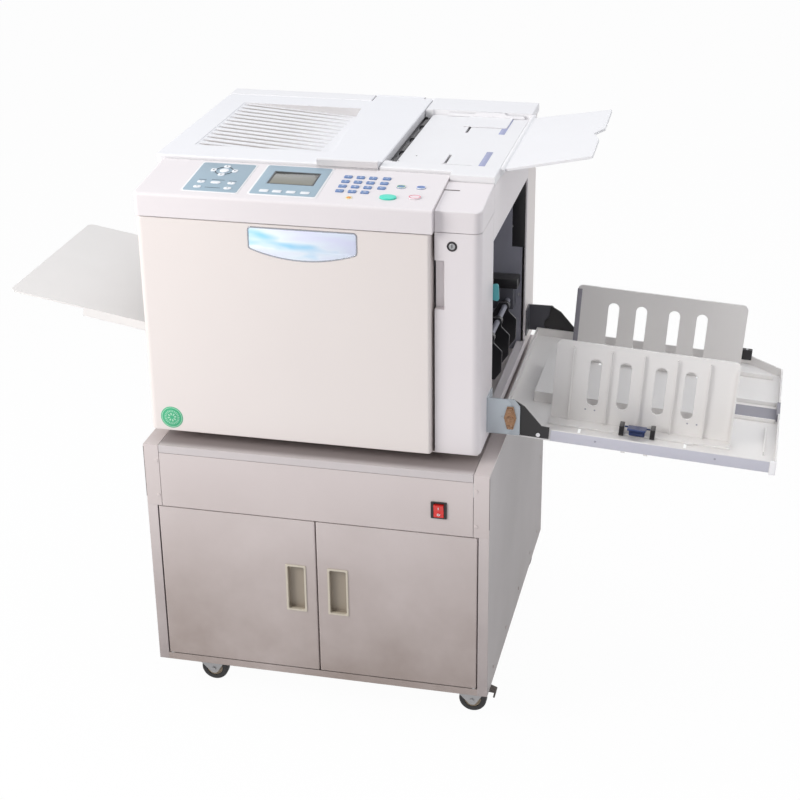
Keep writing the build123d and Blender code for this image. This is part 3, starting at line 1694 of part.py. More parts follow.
with BuildPart() as fence_lock:
    with BuildSketch(cross(lock_u - lock_width / 2, tray_plane)):
        with Locations((lock_pivot_y, lock_pivot_w)):
            Circle(3.2)
        with Locations((lock_pivot_y - 34, lock_pivot_w + 11)):
            Circle(2)
        make_hull()
    extrude(amount=lock_width)
    rod(
        "x",
        lock_pin_radius,
        (lock_pivot_y, lock_pivot_w),
        (lock_u - lock_ear_reach - lock_ear_width, lock_u + lock_ear_reach + lock_ear_width),
        base=tray_plane,
    )
keep("fence_lock", fence_lock)

for name, piece in pieces.items():
    piece = piece.moved(Location((0, -cabinet_depth / 2, 0)))
    piece.label = name
    export_step(piece, "parts/" + name + ".step")
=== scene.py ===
import math

import bmesh
import bpy
from mathutils import Matrix, Vector


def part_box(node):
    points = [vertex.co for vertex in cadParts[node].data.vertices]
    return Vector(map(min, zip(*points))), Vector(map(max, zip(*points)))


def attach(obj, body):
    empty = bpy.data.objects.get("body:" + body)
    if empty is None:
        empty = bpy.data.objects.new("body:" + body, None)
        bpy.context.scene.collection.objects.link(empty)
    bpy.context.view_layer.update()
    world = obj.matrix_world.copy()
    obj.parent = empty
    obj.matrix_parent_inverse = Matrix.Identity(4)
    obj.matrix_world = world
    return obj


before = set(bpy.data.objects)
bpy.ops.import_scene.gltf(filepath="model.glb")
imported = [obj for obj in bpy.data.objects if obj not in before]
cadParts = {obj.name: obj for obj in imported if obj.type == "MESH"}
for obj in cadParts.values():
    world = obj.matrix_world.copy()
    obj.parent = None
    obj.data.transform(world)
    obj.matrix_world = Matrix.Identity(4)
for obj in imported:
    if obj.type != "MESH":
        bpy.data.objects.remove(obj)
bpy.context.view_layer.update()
print("duplicator parts loaded:", len(cadParts))


# places are given in millimetres from the floor under the middle of the cabinet's front edge
mm = 0.001
cabinetHalfDepth = 310
# how far edges are rounded, in metres, and the thickness of what is printed
hairEdge, fineEdge, softEdge, keyEdge, blockEdge = 0.0001, 0.0002, 0.0003, 0.0005, 0.0008
printDepth = 0.0001
nowhere = Vector((0, 0, 0))
toFront = Vector((0, -1, 0))
skyward = Vector((0, 0, 1))


def spot(x, y, z):
    return Vector((x, y - cabinetHalfDepth, z)) * mm


def size(x, y, z):
    return Vector((x, y, z)) * mm


def tone(red, green, blue, alpha=1.0):
    def straight(value):
        value = value / 255
        return value / 12.92 if value <= 0.04045 else ((value + 0.055) / 1.055) ** 2.4
    return (straight(red), straight(green), straight(blue), alpha)


# the effects that several finishes share

def newGroup(name, outputs, **inputs):
    # every group takes a place, and then numbers or directions with the values that they start from
    group = bpy.data.node_groups.new(name, "ShaderNodeTree")
    sockets = group.interface
    sockets.new_socket("Place", in_out="INPUT", socket_type="NodeSocketVector")
    for label, value in inputs.items():
        kind = "NodeSocketVector" if isinstance(value, tuple) else "NodeSocketFloat"
        sockets.new_socket(label, in_out="INPUT", socket_type=kind).default_value = value
    for label in outputs:
        kind = "NodeSocketVector" if label == "Normal" else "NodeSocketFloat"
        sockets.new_socket(label, in_out="OUTPUT", socket_type=kind)
    start = group.nodes.new("NodeGroupInput").outputs
    return group, start, group.nodes.new("NodeGroupOutput").inputs


def mathNode(tree, kind, first, second=None, clamp=False):
    node = tree.nodes.new("ShaderNodeMath")
    node.operation = kind
    node.use_clamp = clamp
    for index, value in enumerate((first, second)):
        if value is None:
            continue
        if isinstance(value, (int, float)):
            node.inputs[index].default_value = value
        else:
            tree.links.new(value, node.inputs[index])
    return node.outputs[0]


def plus(tree, first, second, clamp=False):
    return mathNode(tree, "ADD", first, second, clamp)


def minus(tree, first, second, clamp=False):
    return mathNode(tree, "SUBTRACT", first, second, clamp)


def times(tree, first, second, clamp=False):
    return mathNode(tree, "MULTIPLY", first, second, clamp)


def larger(tree, first, second):
    return mathNode(tree, "MAXIMUM", first, second)


def below(tree, value, edge):
    return mathNode(tree, "LESS_THAN", value, edge)


def above(tree, value, edge):
    return mathNode(tree, "GREATER_THAN", value, edge)


def nearTo(tree, value, middle, reach):
    return below(tree, mathNode(tree, "ABSOLUTE", minus(tree, value, middle)), reach)


def splitNode(tree, place):
    node = tree.nodes.new("ShaderNodeSeparateXYZ")
    tree.links.new(place, node.inputs[0])
    return node.outputs


def vectorNode(tree, kind, first, second):
    node = tree.nodes.new("ShaderNodeVectorMath")
    node.operation = kind
    tree.links.new(first, node.inputs[0])
    tree.links.new(second, node.inputs["Scale" if kind == "SCALE" else 1])
    return node.outputs["Value" if kind == "DOT_PRODUCT" else "Vector"]


def noiseNode(tree, place, scale, detail=2.0, roughness=0.5):
    node = tree.nodes.new("ShaderNodeTexNoise")
    node.inputs["Scale"].default_value = scale
    node.inputs["Detail"].default_value = detail
    node.inputs["Roughness"].default_value = roughness
    tree.links.new(place, node.inputs["Vector"])
    return node.outputs["Fac"]


def blendTone(tree, mask, first, second):
    node = tree.nodes.new("ShaderNodeMix")
    node.data_type = "RGBA"
    for socket, value in ((node.inputs[0], mask), (node.inputs[6], first), (node.inputs[7], second)):
        if isinstance(value, (int, float, tuple)):
            socket.default_value = value
        else:
            tree.links.new(value, socket)
    return node.outputs[2]


def buildSoftCorner():
    group, start, end = newGroup("softCorner", ["Normal", "Mask"], Radius=0.001, Wear=0.3)
    corner = group.nodes.new("ShaderNodeBevel")
    corner.samples = 6
    group.links.new(start["Radius"], corner.inputs["Radius"])
    flat = group.nodes.new("ShaderNodeNewGeometry").outputs["Normal"]
    facing = vectorNode(group, "DOT_PRODUCT", corner.outputs["Normal"], flat)
    strong = times(group, minus(group, 1.0, facing), 5.0, clamp=True)
    patchy = noiseNode(group, start["Place"], 90.0, 3.0)
    uneven = times(group, strong, times(group, patchy, 1.6))
    worn = times(group, uneven, start["Wear"], clamp=True)
    group.links.new(corner.outputs["Normal"], end["Normal"])
    group.links.new(worn, end["Mask"])
    return group


def buildMouldGrain():
    group, start, end = newGroup("mouldGrain", ["Height", "Clouds"], Scale=1200.0)
    spread = vectorNode(group, "SCALE", start["Place"], start["Scale"])
    fine = noiseNode(group, spread, 1.0, 2.0)
    cells = group.nodes.new("ShaderNodeTexVoronoi")
    cells.feature = "SMOOTH_F1"
    cells.inputs["Scale"].default_value = 0.7
    group.links.new(spread, cells.inputs["Vector"])
    height = plus(group, times(group, fine, 0.6), times(group, cells.outputs["Distance"], 0.4))
    clouds = noiseNode(group, start["Place"], 3.2, 3.0, 0.6)
    group.links.new(height, end["Height"])
    group.links.new(clouds, end["Clouds"])
    return group


def buildSettledDust():
    group, start, end = newGroup("settledDust", ["Mask"], Amount=0.2)
    flat = group.nodes.new("ShaderNodeNewGeometry").outputs["Normal"]
    upward = larger(group, splitNode(group, flat)["Z"], 0.0)
    sharp = mathNode(group, "POWER", upward, 3.0)
    drift = noiseNode(group, start["Place"], 14.0, 5.0, 0.65)
    mask = times(group, times(group, sharp, drift), start["Amount"], clamp=True)
    group.links.new(mask, end["Mask"])
    return group


def buildBrushLines():
    group, start, end = newGroup("brushLines", ["Lines"], Stretch=(1.0, 1.0, 1.0))
    stretched = vectorNode(group, "MULTIPLY", start["Place"], start["Stretch"])
    group.links.new(noiseNode(group, stretched, 1.0, 4.0, 0.6), end["Lines"])
    return group


def buildStretch():
    # rises from 0 to 1 between two places along one direction
    group, start, end = newGroup(
        "stretchAlong", ["Mask"], Along=(0.0, 1.0, 0.0), From=0.0, To=1.0, Amount=1.0,
    )
    along = vectorNode(group, "DOT_PRODUCT", start["Place"], start["Along"])
    share = group.nodes.new("ShaderNodeMapRange")
    share.interpolation_type = "SMOOTHSTEP"
    group.links.new(along, share.inputs["Value"])
    group.links.new(start["From"], share.inputs["From Min"])
    group.links.new(start["To"], share.inputs["From Max"])
    mask = times(group, share.outputs["Result"], start["Amount"], clamp=True)
    group.links.new(mask, end["Mask"])
    return group


lidRecess = {
    "tilt": 0.0681, "floor": 0.9532, "depth": 0.0026, "wall": 0.2074, "rim": 0.9716,
    "left": -0.2625, "right": -0.022, "front": -0.0755, "back": 0.2085,
}


def buildLidShade():
    # finds what lies under the sloping floor of the lid's recess, and the recess's back wall
    group, start, end = newGroup("lidShade", ["Mask"], Amount=0.6)
    split = splitNode(group, start["Place"])
    slope = plus(group, split["Z"], times(group, split["X"], lidRecess["tilt"]))
    dip = minus(group, lidRecess["floor"], slope)
    under = mathNode(group, "DIVIDE", dip, lidRecess["depth"], clamp=True)
    wall = above(group, split["Y"], lidRecess["wall"])
    back = times(group, times(group, wall, below(group, split["Z"], lidRecess["rim"])), 0.5)
    inside = above(group, split["X"], lidRecess["left"])
    for limit in (
        below(group, split["X"], lidRecess["right"]), above(group, split["Y"], lidRecess["front"]),
        below(group, split["Y"], lidRecess["back"]),
    ):
        inside = times(group, inside, limit)
    deep = times(group, larger(group, under, back), inside)
    group.links.new(times(group, deep, start["Amount"]), end["Mask"])
    return group


# darkens the colour towards the floor, in patches
def buildLowSplash():
    group, start, end = newGroup("lowSplash", ["Mask"], Top=0.3, Amount=0.3)
    split = splitNode(group, start["Place"])
    low = minus(group, 1.0, mathNode(group, "DIVIDE", split["Z"], start["Top"]), clamp=True)
    drift = noiseNode(group, start["Place"], 6.0, 4.0, 0.6)
    mask = times(group, times(group, low, plus(group, drift, 0.4)), start["Amount"], clamp=True)
    group.links.new(mask, end["Mask"])
    return group


softCorner = buildSoftCorner()
mouldGrain = buildMouldGrain()
settledDust = buildSettledDust()
brushLines = buildBrushLines()
lowSplash = buildLowSplash()
stretchAlong = buildStretch()
lidShade = buildLidShade()
print("shared effects built")


def useGroup(tree, group, place, **values):
    node = tree.nodes.new("ShaderNodeGroup")
    node.node_tree = group
    tree.links.new(place, node.inputs["Place"])
    for label, value in values.items():
        node.inputs[label].default_value = value
    return node


plainLook = {
    "metallic": 0.0,
    "unevenness": 0.08,           # how far the roughness drifts
    "grain": 1300.0,              # grains per metre
    "depth": 0.00002,             # height of the grain, in metres
    "corner": 0.0008,             # radius that the light finds on sharp corners
    "wear": 0.18,
    "wornTone": None,
    "dust": 0.10,
    "dustTone": (205, 200, 192),
    "brush": None,                # stretch of brushed lines
    "splash": 0.0,                # darker towards the floor
    "splashTop": 0.35,
    "coat": 0.0,
    "band": None,                 # axis, start and end of a stretch over which the band's tone comes in
    "bandTone": (120, 110, 104),
    "bandAmount": 0.5,
    "recess": 0.0,                # how far the lid's grooves hold shade
    "recessTone": (150, 140, 134),
}

finishes = {}


def newMaterial(name):
    material = bpy.data.materials.new(name)
    material.use_nodes = True
    finishes[name] = material
    tree = material.node_tree
    return tree, tree.nodes["Principled BSDF"], tree.nodes.new("ShaderNodeTexCoord").outputs["Object"]


def dress(tree, shader, colour, rough, coat=0.0, coatRoughness=0.03):
    tree.links.new(colour, shader.inputs["Base Color"])
    tree.links.new(rough, shader.inputs["Roughness"])
    shader.inputs["Coat Weight"].default_value = coat
    shader.inputs["Coat Roughness"].default_value = coatRoughness


def rampNode(tree, value, stops):
    # stops run from the first place to the last, each a place from 0 to 1 and its tone
    ramp = tree.nodes.new("ShaderNodeValToRGB")
    steps = ramp.color_ramp.elements
    for end, (place, colour) in ((0, stops[0]), (1, stops[-1])):
        steps[end].position = place
        steps[end].color = tone(*colour)
    for place, colour in stops[1:-1]:
        steps.new(place).color = tone(*colour)
    tree.links.new(value, ramp.inputs["Fac"])
    return ramp.outputs["Color"]


def rangeNode(tree, value, low, high):
    node = tree.nodes.new("ShaderNodeMapRange")
    node.inputs["From Min"].default_value = low
    node.inputs["From Max"].default_value = high
    tree.links.new(value, node.inputs["Value"])
    return node.outputs["Result"]


def mixed(first, second, share):
    return tuple(a + (b - a) * share for a, b in zip(first, second))


def makeFinish(name, slotName, main, shade, roughness, **changes):
    look = dict(plainLook, **changes)
    worn = look["wornTone"] or mixed(main, (255, 255, 255), 0.35)
    tree, shader, place = newMaterial(name)
    grain = useGroup(tree, mouldGrain, place, Scale=look["grain"])
    corner = useGroup(tree, softCorner, place, Radius=look["corner"], Wear=look["wear"])
    dust = useGroup(tree, settledDust, place, Amount=look["dust"])
    colour = blendTone(tree, grain.outputs["Clouds"], tone(*main), tone(*shade))
    drift = times(tree, grain.outputs["Clouds"], look["unevenness"])
    rough = plus(tree, roughness - look["unevenness"] / 2, drift)
    height = grain.outputs["Height"]
    if look["brush"]:
        lines = useGroup(tree, brushLines, place, Stretch=look["brush"])
        darker = tone(*mixed(main, (20, 20, 20), 0.25))
        colour = blendTone(tree, times(tree, lines.outputs["Lines"], 0.5), colour, darker)
        rough = plus(tree, rough, times(tree, lines.outputs["Lines"], 0.12))
        height = lines.outputs["Lines"]
    if look["band"]:
        axis, first, last = look["band"]
        along = {"X": (1.0, 0.0, 0.0), "Y": (0.0, 1.0, 0.0), "Z": (0.0, 0.0, 1.0)}[axis]
        band = useGroup(
            tree, stretchAlong, place, Along=along, From=first, To=last, Amount=look["bandAmount"],
        )
        colour = blendTone(tree, band.outputs["Mask"], colour, tone(*look["bandTone"]))
    if look["recess"]:
        recess = useGroup(tree, lidShade, place, Amount=look["recess"])
        colour = blendTone(tree, recess.outputs["Mask"], colour, tone(*look["recessTone"]))
    if look["splash"]:
        splash = useGroup(tree, lowSplash, place, Top=look["splashTop"], Amount=look["splash"])
        colour = blendTone(tree, splash.outputs["Mask"], colour, tone(*look["splashTone"]))
    colour = blendTone(tree, corner.outputs["Mask"], colour, tone(*worn))
    colour = blendTone(tree, dust.outputs["Mask"], colour, tone(*look["dustTone"]))
    rough = plus(tree, rough, times(tree, dust.outputs["Mask"], 0.4), clamp=True)
    bump = tree.nodes.new("ShaderNodeBump")
    bump.inputs["Strength"].default_value = 1.0
    bump.inputs["Distance"].default_value = look["depth"]
    tree.links.new(height, bump.inputs["Height"])
    tree.links.new(corner.outputs["Normal"], bump.inputs["Normal"])
    tree.links.new(bump.outputs["Normal"], shader.inputs["Normal"])
    shader.inputs["Metallic"].default_value = look["metallic"]
    dress(tree, shader, colour, rough, look["coat"], 0.25)


# moulded housings and painted steel
makeFinish("ivoryHousing", "ivory", (231, 223, 219), (226, 217, 214), 0.4, grain=1500.0, dust=0.08)
makeFinish("coverHousing", "ivory", (231, 225, 226), (226, 219, 221), 0.4, grain=1500.0, dust=0.08)
makeFinish("lidHousing", "lid_white", (238, 237, 238), (233, 231, 233), 0.38, grain=1500.0, dust=0.1)
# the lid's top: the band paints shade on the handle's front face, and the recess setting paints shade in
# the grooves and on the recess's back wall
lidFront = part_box("top_cover")[0].y
makeFinish(
    "lidTop", "lid_white", (238, 237, 239), (232, 231, 234), 0.36, grain=1500.0, dust=0.06, recess=0.75,
    band=("Y", lidFront + 0.0045, lidFront), bandTone=(206, 202, 202), bandAmount=0.85,
)
paint = {
    "unevenness": 0.1, "grain": 900.0, "depth": 0.00003, "corner": 0.001, "wear": 0.16,
    "dustTone": (188, 180, 174),
}
makeFinish(
    "cabinetPaint", "cabinet_grey", (216, 206, 204), (209, 198, 197), 0.36, **paint, dust=0.22,
    splash=1.0, splashTop=0.52, splashTone=(142, 127, 119),
)
# the cabinet's sides and back: its paint darkened as painted shade, with the front edge kept in the front's
# own tone
makeFinish(
    "sidePaint", "cabinet_grey", (158, 151, 152), (150, 143, 144), 0.38, **paint, dust=0.15,
    splash=0.9, splashTop=0.52, splashTone=(132, 121, 119),
    band=("Y", -0.3085, -0.3097), bandTone=(216, 206, 204), bandAmount=1.0,
)
# the deck: the band paints the shadow under the duplicator's front
makeFinish(
    "deckPaint", "cabinet_grey", (206, 199, 199), (198, 190, 190), 0.34, **paint, dust=0.08,
    band=("Y", -0.3095, -0.29), bandTone=(132, 120, 119), bandAmount=0.75,
)
# the door pulls: the band paints shade inside their recesses
makeFinish(
    "pullPlastic", "pull_beige", (203, 195, 180), (194, 185, 168), 0.45, dust=0.2,
    dustTone=(150, 138, 122), band=("Y", -0.3085, -0.3035), bandTone=(150, 138, 124), bandAmount=0.85,
)
makeFinish(
    "bezelPlastic", "bezel_black", (26, 24, 25), (34, 31, 32), 0.35, wear=0.35, wornTone=(84, 80, 80),
    dust=0.12,
)
makeFinish(
    "rockerPlastic", "rocker_red", (206, 22, 20), (226, 40, 30), 0.22, coat=0.4, wear=0.2,
    wornTone=(240, 110, 96), dust=0.04,
)
makeFinish(
    "casterSteel", "caster_steel", (178, 178, 180), (158, 156, 156), 0.34, metallic=0.85, grain=700.0,
    depth=0.00003, wear=0.3, dust=0.45, dustTone=(128, 120, 110), brush=(60.0, 60.0, 700.0),
)
makeFinish(
    "tyreRubber", "tyre_black", (38, 38, 40), (52, 50, 50), 0.62, grain=600.0, depth=0.00006, wear=0.5,
    wornTone=(92, 88, 84), dust=0.5, dustTone=(120, 112, 104),
)
makeFinish(
    "brakePlastic", "brake_black", (74, 64, 60), (62, 54, 51), 0.45, wear=0.3, dust=0.4,
    dustTone=(140, 130, 120),
)
makeFinish(
    "frameSteel", "frame_grey", (168, 168, 180), (150, 150, 163), 0.42, metallic=0.25, grain=900.0,
    wear=0.3, dust=0.25, dustTone=(118, 114, 112), brush=(30.0, 400.0, 30.0),
)
makeFinish(
    "pinSteel", "pin_steel", (188, 188, 190), (168, 168, 170), 0.24, metallic=1.0, wear=0.2, dust=0.1,
    brush=(300.0, 60.0, 300.0),
)
makeFinish(
    "drumSteel", "drum_steel", (176, 178, 182), (150, 152, 158), 0.3, metallic=0.9, grain=1600.0,
    depth=0.00004, wear=0.3, dust=0.15, brush=(40.0, 900.0, 40.0),
)
makeFinish("gearPlastic", "gear_white", (224, 221, 210), (214, 209, 194), 0.48, wear=0.25, dust=0.2)
makeFinish(
    "pinionSteel", "pinion_steel", (170, 168, 164), (150, 147, 142), 0.32, metallic=1.0, wear=0.3,
    dust=0.1, brush=(200.0, 40.0, 200.0),
)
makeFinish(
    "motorCase", "motor_dark", (58, 60, 64), (46, 47, 51), 0.45, metallic=0.4, wear=0.3,
    wornTone=(120, 120, 124), dust=0.2,
)
makeFinish(
    "rollerRubber", "roller_rubber", (62, 62, 66), (78, 76, 78), 0.68, grain=1100.0, depth=0.00005,
    wear=0.3, wornTone=(110, 108, 108), dust=0.3,
)
# the wings: their pale edge tone is a painted highlight along the edges
makeFinish(
    "wingPlastic", "wing_black", (30, 30, 33), (44, 43, 47), 0.28, coat=0.3, wear=0.9,
    wornTone=(178, 176, 178), corner=0.0018, dust=0.12,
)
makeFinish("leverPlastic", "lever_teal", (92, 176, 182), (74, 158, 166), 0.35, wear=0.3, dust=0.1)
# the tray brackets: the band makes the far bracket darker than the near one
makeFinish(
    "bracketSteel", "bracket_steel", (196, 203, 209), (182, 190, 198), 0.34, metallic=0.25, grain=1000.0,
    wear=0.3, dust=0.15, brush=(40.0, 40.0, 600.0), band=("Y", 0.0, 0.1), bandTone=(84, 84, 90),
    bandAmount=1.0,
)
makeFinish(
    "armPaint", "arm_black", (30, 28, 29), (40, 38, 39), 0.38, grain=1100.0, wear=0.35,
    wornTone=(96, 92, 92), dust=0.25, dustTone=(92, 88, 86),
)
makeFinish(
    "trayPlastic", "tray_beige", (229, 226, 224), (220, 217, 215), 0.42, grain=1300.0, wear=0.15,
    dust=0.14,
)
makeFinish(
    "lockPlastic", "lock_navy", (30, 52, 104), (24, 42, 90), 0.34, wear=0.3, wornTone=(92, 112, 160),
    dust=0.1,
)
makeFinish(
    "keyPlastic", "key_blue", (104, 134, 184), (92, 122, 172), 0.42, wear=0.4, wornTone=(176, 196, 224),
    dust=0.1,
)
makeFinish("startPlastic", "start_green", (82, 224, 198), (66, 212, 188), 0.34, wear=0.3, dust=0.05)
makeFinish("stopPlastic", "stop_pink", (240, 226, 228), (234, 214, 220), 0.38, wear=0.2, dust=0.08)

def paintWith(piece, finishName):
    piece.data.materials.clear()
    piece.data.materials.append(finishes[finishName])


wheelCorners = ("front_left", "front_right", "rear_left", "rear_right")
cadFinish = {
    "ivoryHousing": ["front_door", "left_cover", "rear_cover", "base_pan"],
    "coverHousing": ["console", "column_cover", "right_cover"],
    "lidTop": ["top_cover"],
    "lidHousing": [
        "upper_frame", "document_table", "document_tray", "document_guide_near", "document_guide_far",
    ],
    "cabinetPaint": [
        "cabinet_base", "cabinet_fascia", "cabinet_corners", "cabinet_door_left", "cabinet_door_right",
    ],
    "sidePaint": ["cabinet_left_side", "cabinet_right_side", "cabinet_back"],
    "deckPaint": ["cabinet_deck"],
    "pullPlastic": ["door_pull_left", "door_pull_right"],
    "bezelPlastic": ["switch_housing", "power_inlet"],
    "rockerPlastic": ["switch_rocker"],
    "casterSteel": ["caster_plates"] + ["caster_fork_" + corner for corner in wheelCorners],
    "tyreRubber": ["caster_wheel_" + corner for corner in wheelCorners],
    "brakePlastic": ["caster_brake_front_left", "caster_brake_front_right"],
    "frameSteel": ["works_frame", "feed_elevator"],
    "pinSteel": ["hinge_pins"],
    "drumSteel": ["print_drum"],
    "gearPlastic": ["drum_gear"],
    "pinionSteel": ["drive_pinion"],
    "motorCase": ["drive_motor"],
    "rollerRubber": ["press_roller", "pickup_roller", "feeder_roller"],
    "wingPlastic": ["delivery_wings"],
    "leverPlastic": ["release_lever"],
    "bracketSteel": ["tray_brackets"],
    "armPaint": ["tray_arms"],
    "trayPlastic": ["feed_tray", "output_tray", "fence_near", "fence_far"],
    "lockPlastic": ["fence_lock"],
    "keyPlastic": ["number_keys"],
    "startPlastic": ["start_button"],
    "stopPlastic": ["stop_button"],
}
for finishName, partNames in cadFinish.items():
    for partName in partNames:
        paintWith(cadParts[partName], finishName)
unfinished = sorted(set(cadParts) - {name for names in cadFinish.values() for name in names})
print("finishes on the frame's parts; left over:", unfinished)


# modelling steps that most pieces share

def letGo():
    if bpy.context.object and bpy.context.object.mode != "OBJECT":
        bpy.ops.object.mode_set(mode="OBJECT")
    bpy.ops.object.select_all(action="DESELECT")


def choose(piece):
    letGo()
    piece.select_set(True)
    bpy.context.view_layer.objects.active = piece


def setPlace(piece):
    choose(piece)
    bpy.ops.object.transform_apply(location=True, rotation=True, scale=True)
    return piece


def addBlock(name, low, high):
    letGo()
    bpy.ops.mesh.primitive_cube_add(size=1, location=(low + high) / 2)
    piece = bpy.context.object
    piece.name = name
    piece.scale = high - low
    return setPlace(piece)


def addRound(name, middle, radius, depth, axis="Z", sides=40):
    letGo()
    turns = {"Z": (0, 0, 0), "Y": (math.pi / 2, 0, 0), "X": (0, math.pi / 2, 0)}
    bpy.ops.mesh.primitive_cylinder_add(
        vertices=sides, radius=radius, depth=depth, location=middle, rotation=turns[axis],
    )
    piece = bpy.context.object
    piece.name = name
    return setPlace(piece)


def addOval(name, middle, half, depth, sides=48):
    # a flat oval lying level, with its two half widths in millimetres
    piece = addRound(name, middle, mm, depth, sides=sides)
    piece.scale = (*half, 1)
    return setPlace(piece)


def move(piece, step):
    piece.location = step
    return setPlace(piece)


def pick(piece, kind, wanted):
    choose(piece)
    bpy.ops.object.mode_set(mode="EDIT")
    bpy.ops.mesh.select_mode(type=kind)
    bpy.ops.mesh.select_all(action="DESELECT")
    shape = bmesh.from_edit_mesh(piece.data)
    for one in shape.faces if kind == "FACE" else shape.edges:
        one.select_set(wanted(one))
    bmesh.update_edit_mesh(piece.data)


def doneEditing():
    bpy.ops.object.mode_set(mode="OBJECT")


def alongAxis(edge, axis):
    direction = edge.verts[1].co - edge.verts[0].co
    return direction.length > 1e-6 and abs(direction.normalized()[axis]) > 0.99


def bevelPicked(width, segments):
    bpy.ops.mesh.bevel(offset=width, segments=segments, affect="EDGES")
    doneEditing()


def sinkFace(piece, normal, rim, depth, edge=None):
    # insets the faces that look along the normal and moves them in; an edge rounds the piece off after that
    pick(piece, "FACE", lambda face: face.normal.dot(normal) > 0.95)
    bpy.ops.mesh.inset(thickness=rim, depth=0)
    bpy.ops.mesh.extrude_region_move(TRANSFORM_OT_translate={"value": tuple(-depth * n for n in normal)})
    doneEditing()
    if edge:
        roundOff(piece, edge)


def roundOff(piece, width, segments=2):
    choose(piece)
    edge = piece.modifiers.new("edge", "BEVEL")
    edge.width = width
    edge.segments = segments
    edge.limit_method = "ANGLE"
    edge.angle_limit = math.radians(35)
    bpy.ops.object.modifier_apply(modifier=edge.name)
    bpy.ops.object.shade_smooth_by_angle(angle=math.radians(40))


def cutWith(piece, cutter):
    choose(piece)
    cut = piece.modifiers.new("cut", "BOOLEAN")
    cut.operation = "DIFFERENCE"
    cut.solver = "EXACT"
    cut.object = cutter
    bpy.ops.object.modifier_apply(modifier=cut.name)
    bpy.data.objects.remove(cutter)


def copyOf(piece, name, step):
    choose(piece)
    bpy.ops.object.duplicate(linked=False)
    twin = bpy.context.object
    twin.name = name
    return move(twin, step)


def layOn(piece, origin, turn):
    piece.rotation_euler = turn
    piece.location = origin
    return setPlace(piece)


def fit(piece, finishName, body="duplicator"):
    paintWith(piece, finishName)
    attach(piece, body)


def plate(name, low, high, corner, edge, segments=5):
    # a flat plate with rounded corners, lying in its own plane
    piece = addBlock(name, low, high)
    pick(piece, "EDGE", lambda one: alongAxis(one, 2))
    bevelPicked(corner, segments)
    if edge:
        roundOff(piece, edge)
    return piece


def merge(name, pieces):
    letGo()
    for piece in pieces:
        piece.select_set(True)
    bpy.context.view_layer.objects.active = pieces[0]
    bpy.ops.object.join()
    whole = bpy.context.object
    whole.name = name
    return whole


def lettering(name, words, place, height, thickness):
    letGo()
    bpy.ops.object.text_add(location=(0, 0, 0))
    written = bpy.context.object.data
    written.body = words
    written.size = height
    written.align_x = "CENTER"
    written.align_y = "CENTER"
    written.extrude = thickness / 2
    written.resolution_u = 3
    bpy.ops.object.convert(target="MESH")
    piece = bpy.context.object
    piece.name = name
    return move(piece, place)


# the sloping panel's own plane: x across, y up the slope, z out of it
panel = {
    "origin": spot(0, 18, 952),
    "turn": (math.atan2(14.5, 147.0), 0, 0),
}


def onPanel(piece):
    return layOn(piece, panel["origin"], panel["turn"])


makeFinish(
    "overlayFilm", "ivory", (150, 173, 187), (143, 166, 181), 0.34, grain=2200.0, depth=0.00001, wear=0.25,
    wornTone=(196, 208, 216), dust=0.06,
)
makeFinish("whiteKeycap", "lid_white", (240, 241, 243), (230, 232, 236), 0.4, wear=0.1, dust=0.06)
makeFinish("printInk", "bezel_black", (58, 66, 80), (50, 58, 72), 0.5, wear=0.0, dust=0.0)
makeFinish("keyInk", "lid_white", (226, 232, 242), (220, 226, 238), 0.5, wear=0.0, dust=0.0)
makeFinish(
    "displayFrame", "bezel_black", (44, 47, 52), (38, 41, 46), 0.3, wear=0.15, wornTone=(96, 100, 106),
    dust=0.05,
)
makeFinish("greenPrint", "start_green", (120, 178, 130), (104, 166, 118), 0.45, wear=0.1, dust=0.05)
makeFinish("bluePrint", "key_blue", (118, 140, 206), (104, 128, 198), 0.45, wear=0.1, dust=0.05)
makeFinish("pinkPrint", "stop_pink", (236, 120, 140), (228, 104, 128), 0.45, wear=0.1, dust=0.05)
makeFinish("lampAmber", "stop_pink", (232, 140, 40), (214, 118, 28), 0.2, coat=0.5, wear=0.0, dust=0.0)
makeFinish("lampRim", "lid_white", (238, 226, 170), (230, 214, 150), 0.4, wear=0.1, dust=0.05)


screenRows = (-0.228, -0.174)  # where the screen starts and ends from front to back, in metres


def makeDisplayGlass():
    # an unlit screen: olive grey, darker along the top where the window's edge shades it
    tree, shader, place = newMaterial("displayGlass")
    rows = rangeNode(tree, splitNode(tree, place)["Y"], *screenRows)
    stops = [(0.0, (118, 116, 100)), (0.72, (104, 103, 92)), (0.86, (66, 66, 61)), (1.0, (52, 52, 48))]
    bands = rampNode(tree, rows, stops)
    smears = noiseNode(tree, place, 45.0, 4.0, 0.6)
    colour = blendTone(tree, times(tree, smears, 0.25), bands, tone(132, 132, 120))
    dress(tree, shader, colour, plus(tree, 0.14, times(tree, smears, 0.12)), 0.5, 0.08)


makeDisplayGlass()


def panelPlates(name, low, high, rim, drop):
    # a rim round the printed overlay, wider by the rim and lower by the drop
    rimPlate = plate(name + "Rim", low - size(rim, rim, 0), high + size(rim, rim, -drop), 0.006, softEdge)
    return rimPlate, plate(name + "Overlay", low, high, 0.004, fineEdge)


def keyPlate(name, place, half, rise, corner, edge=0.0004):
    # a key round its place on the panel, with its half widths and the two heights that it lies between
    low = size(place[0] - half[0], place[1] - half[1], rise[0])
    high = size(place[0] + half[0], place[1] + half[1], rise[1])
    return plate(name, low, high, corner, edge)


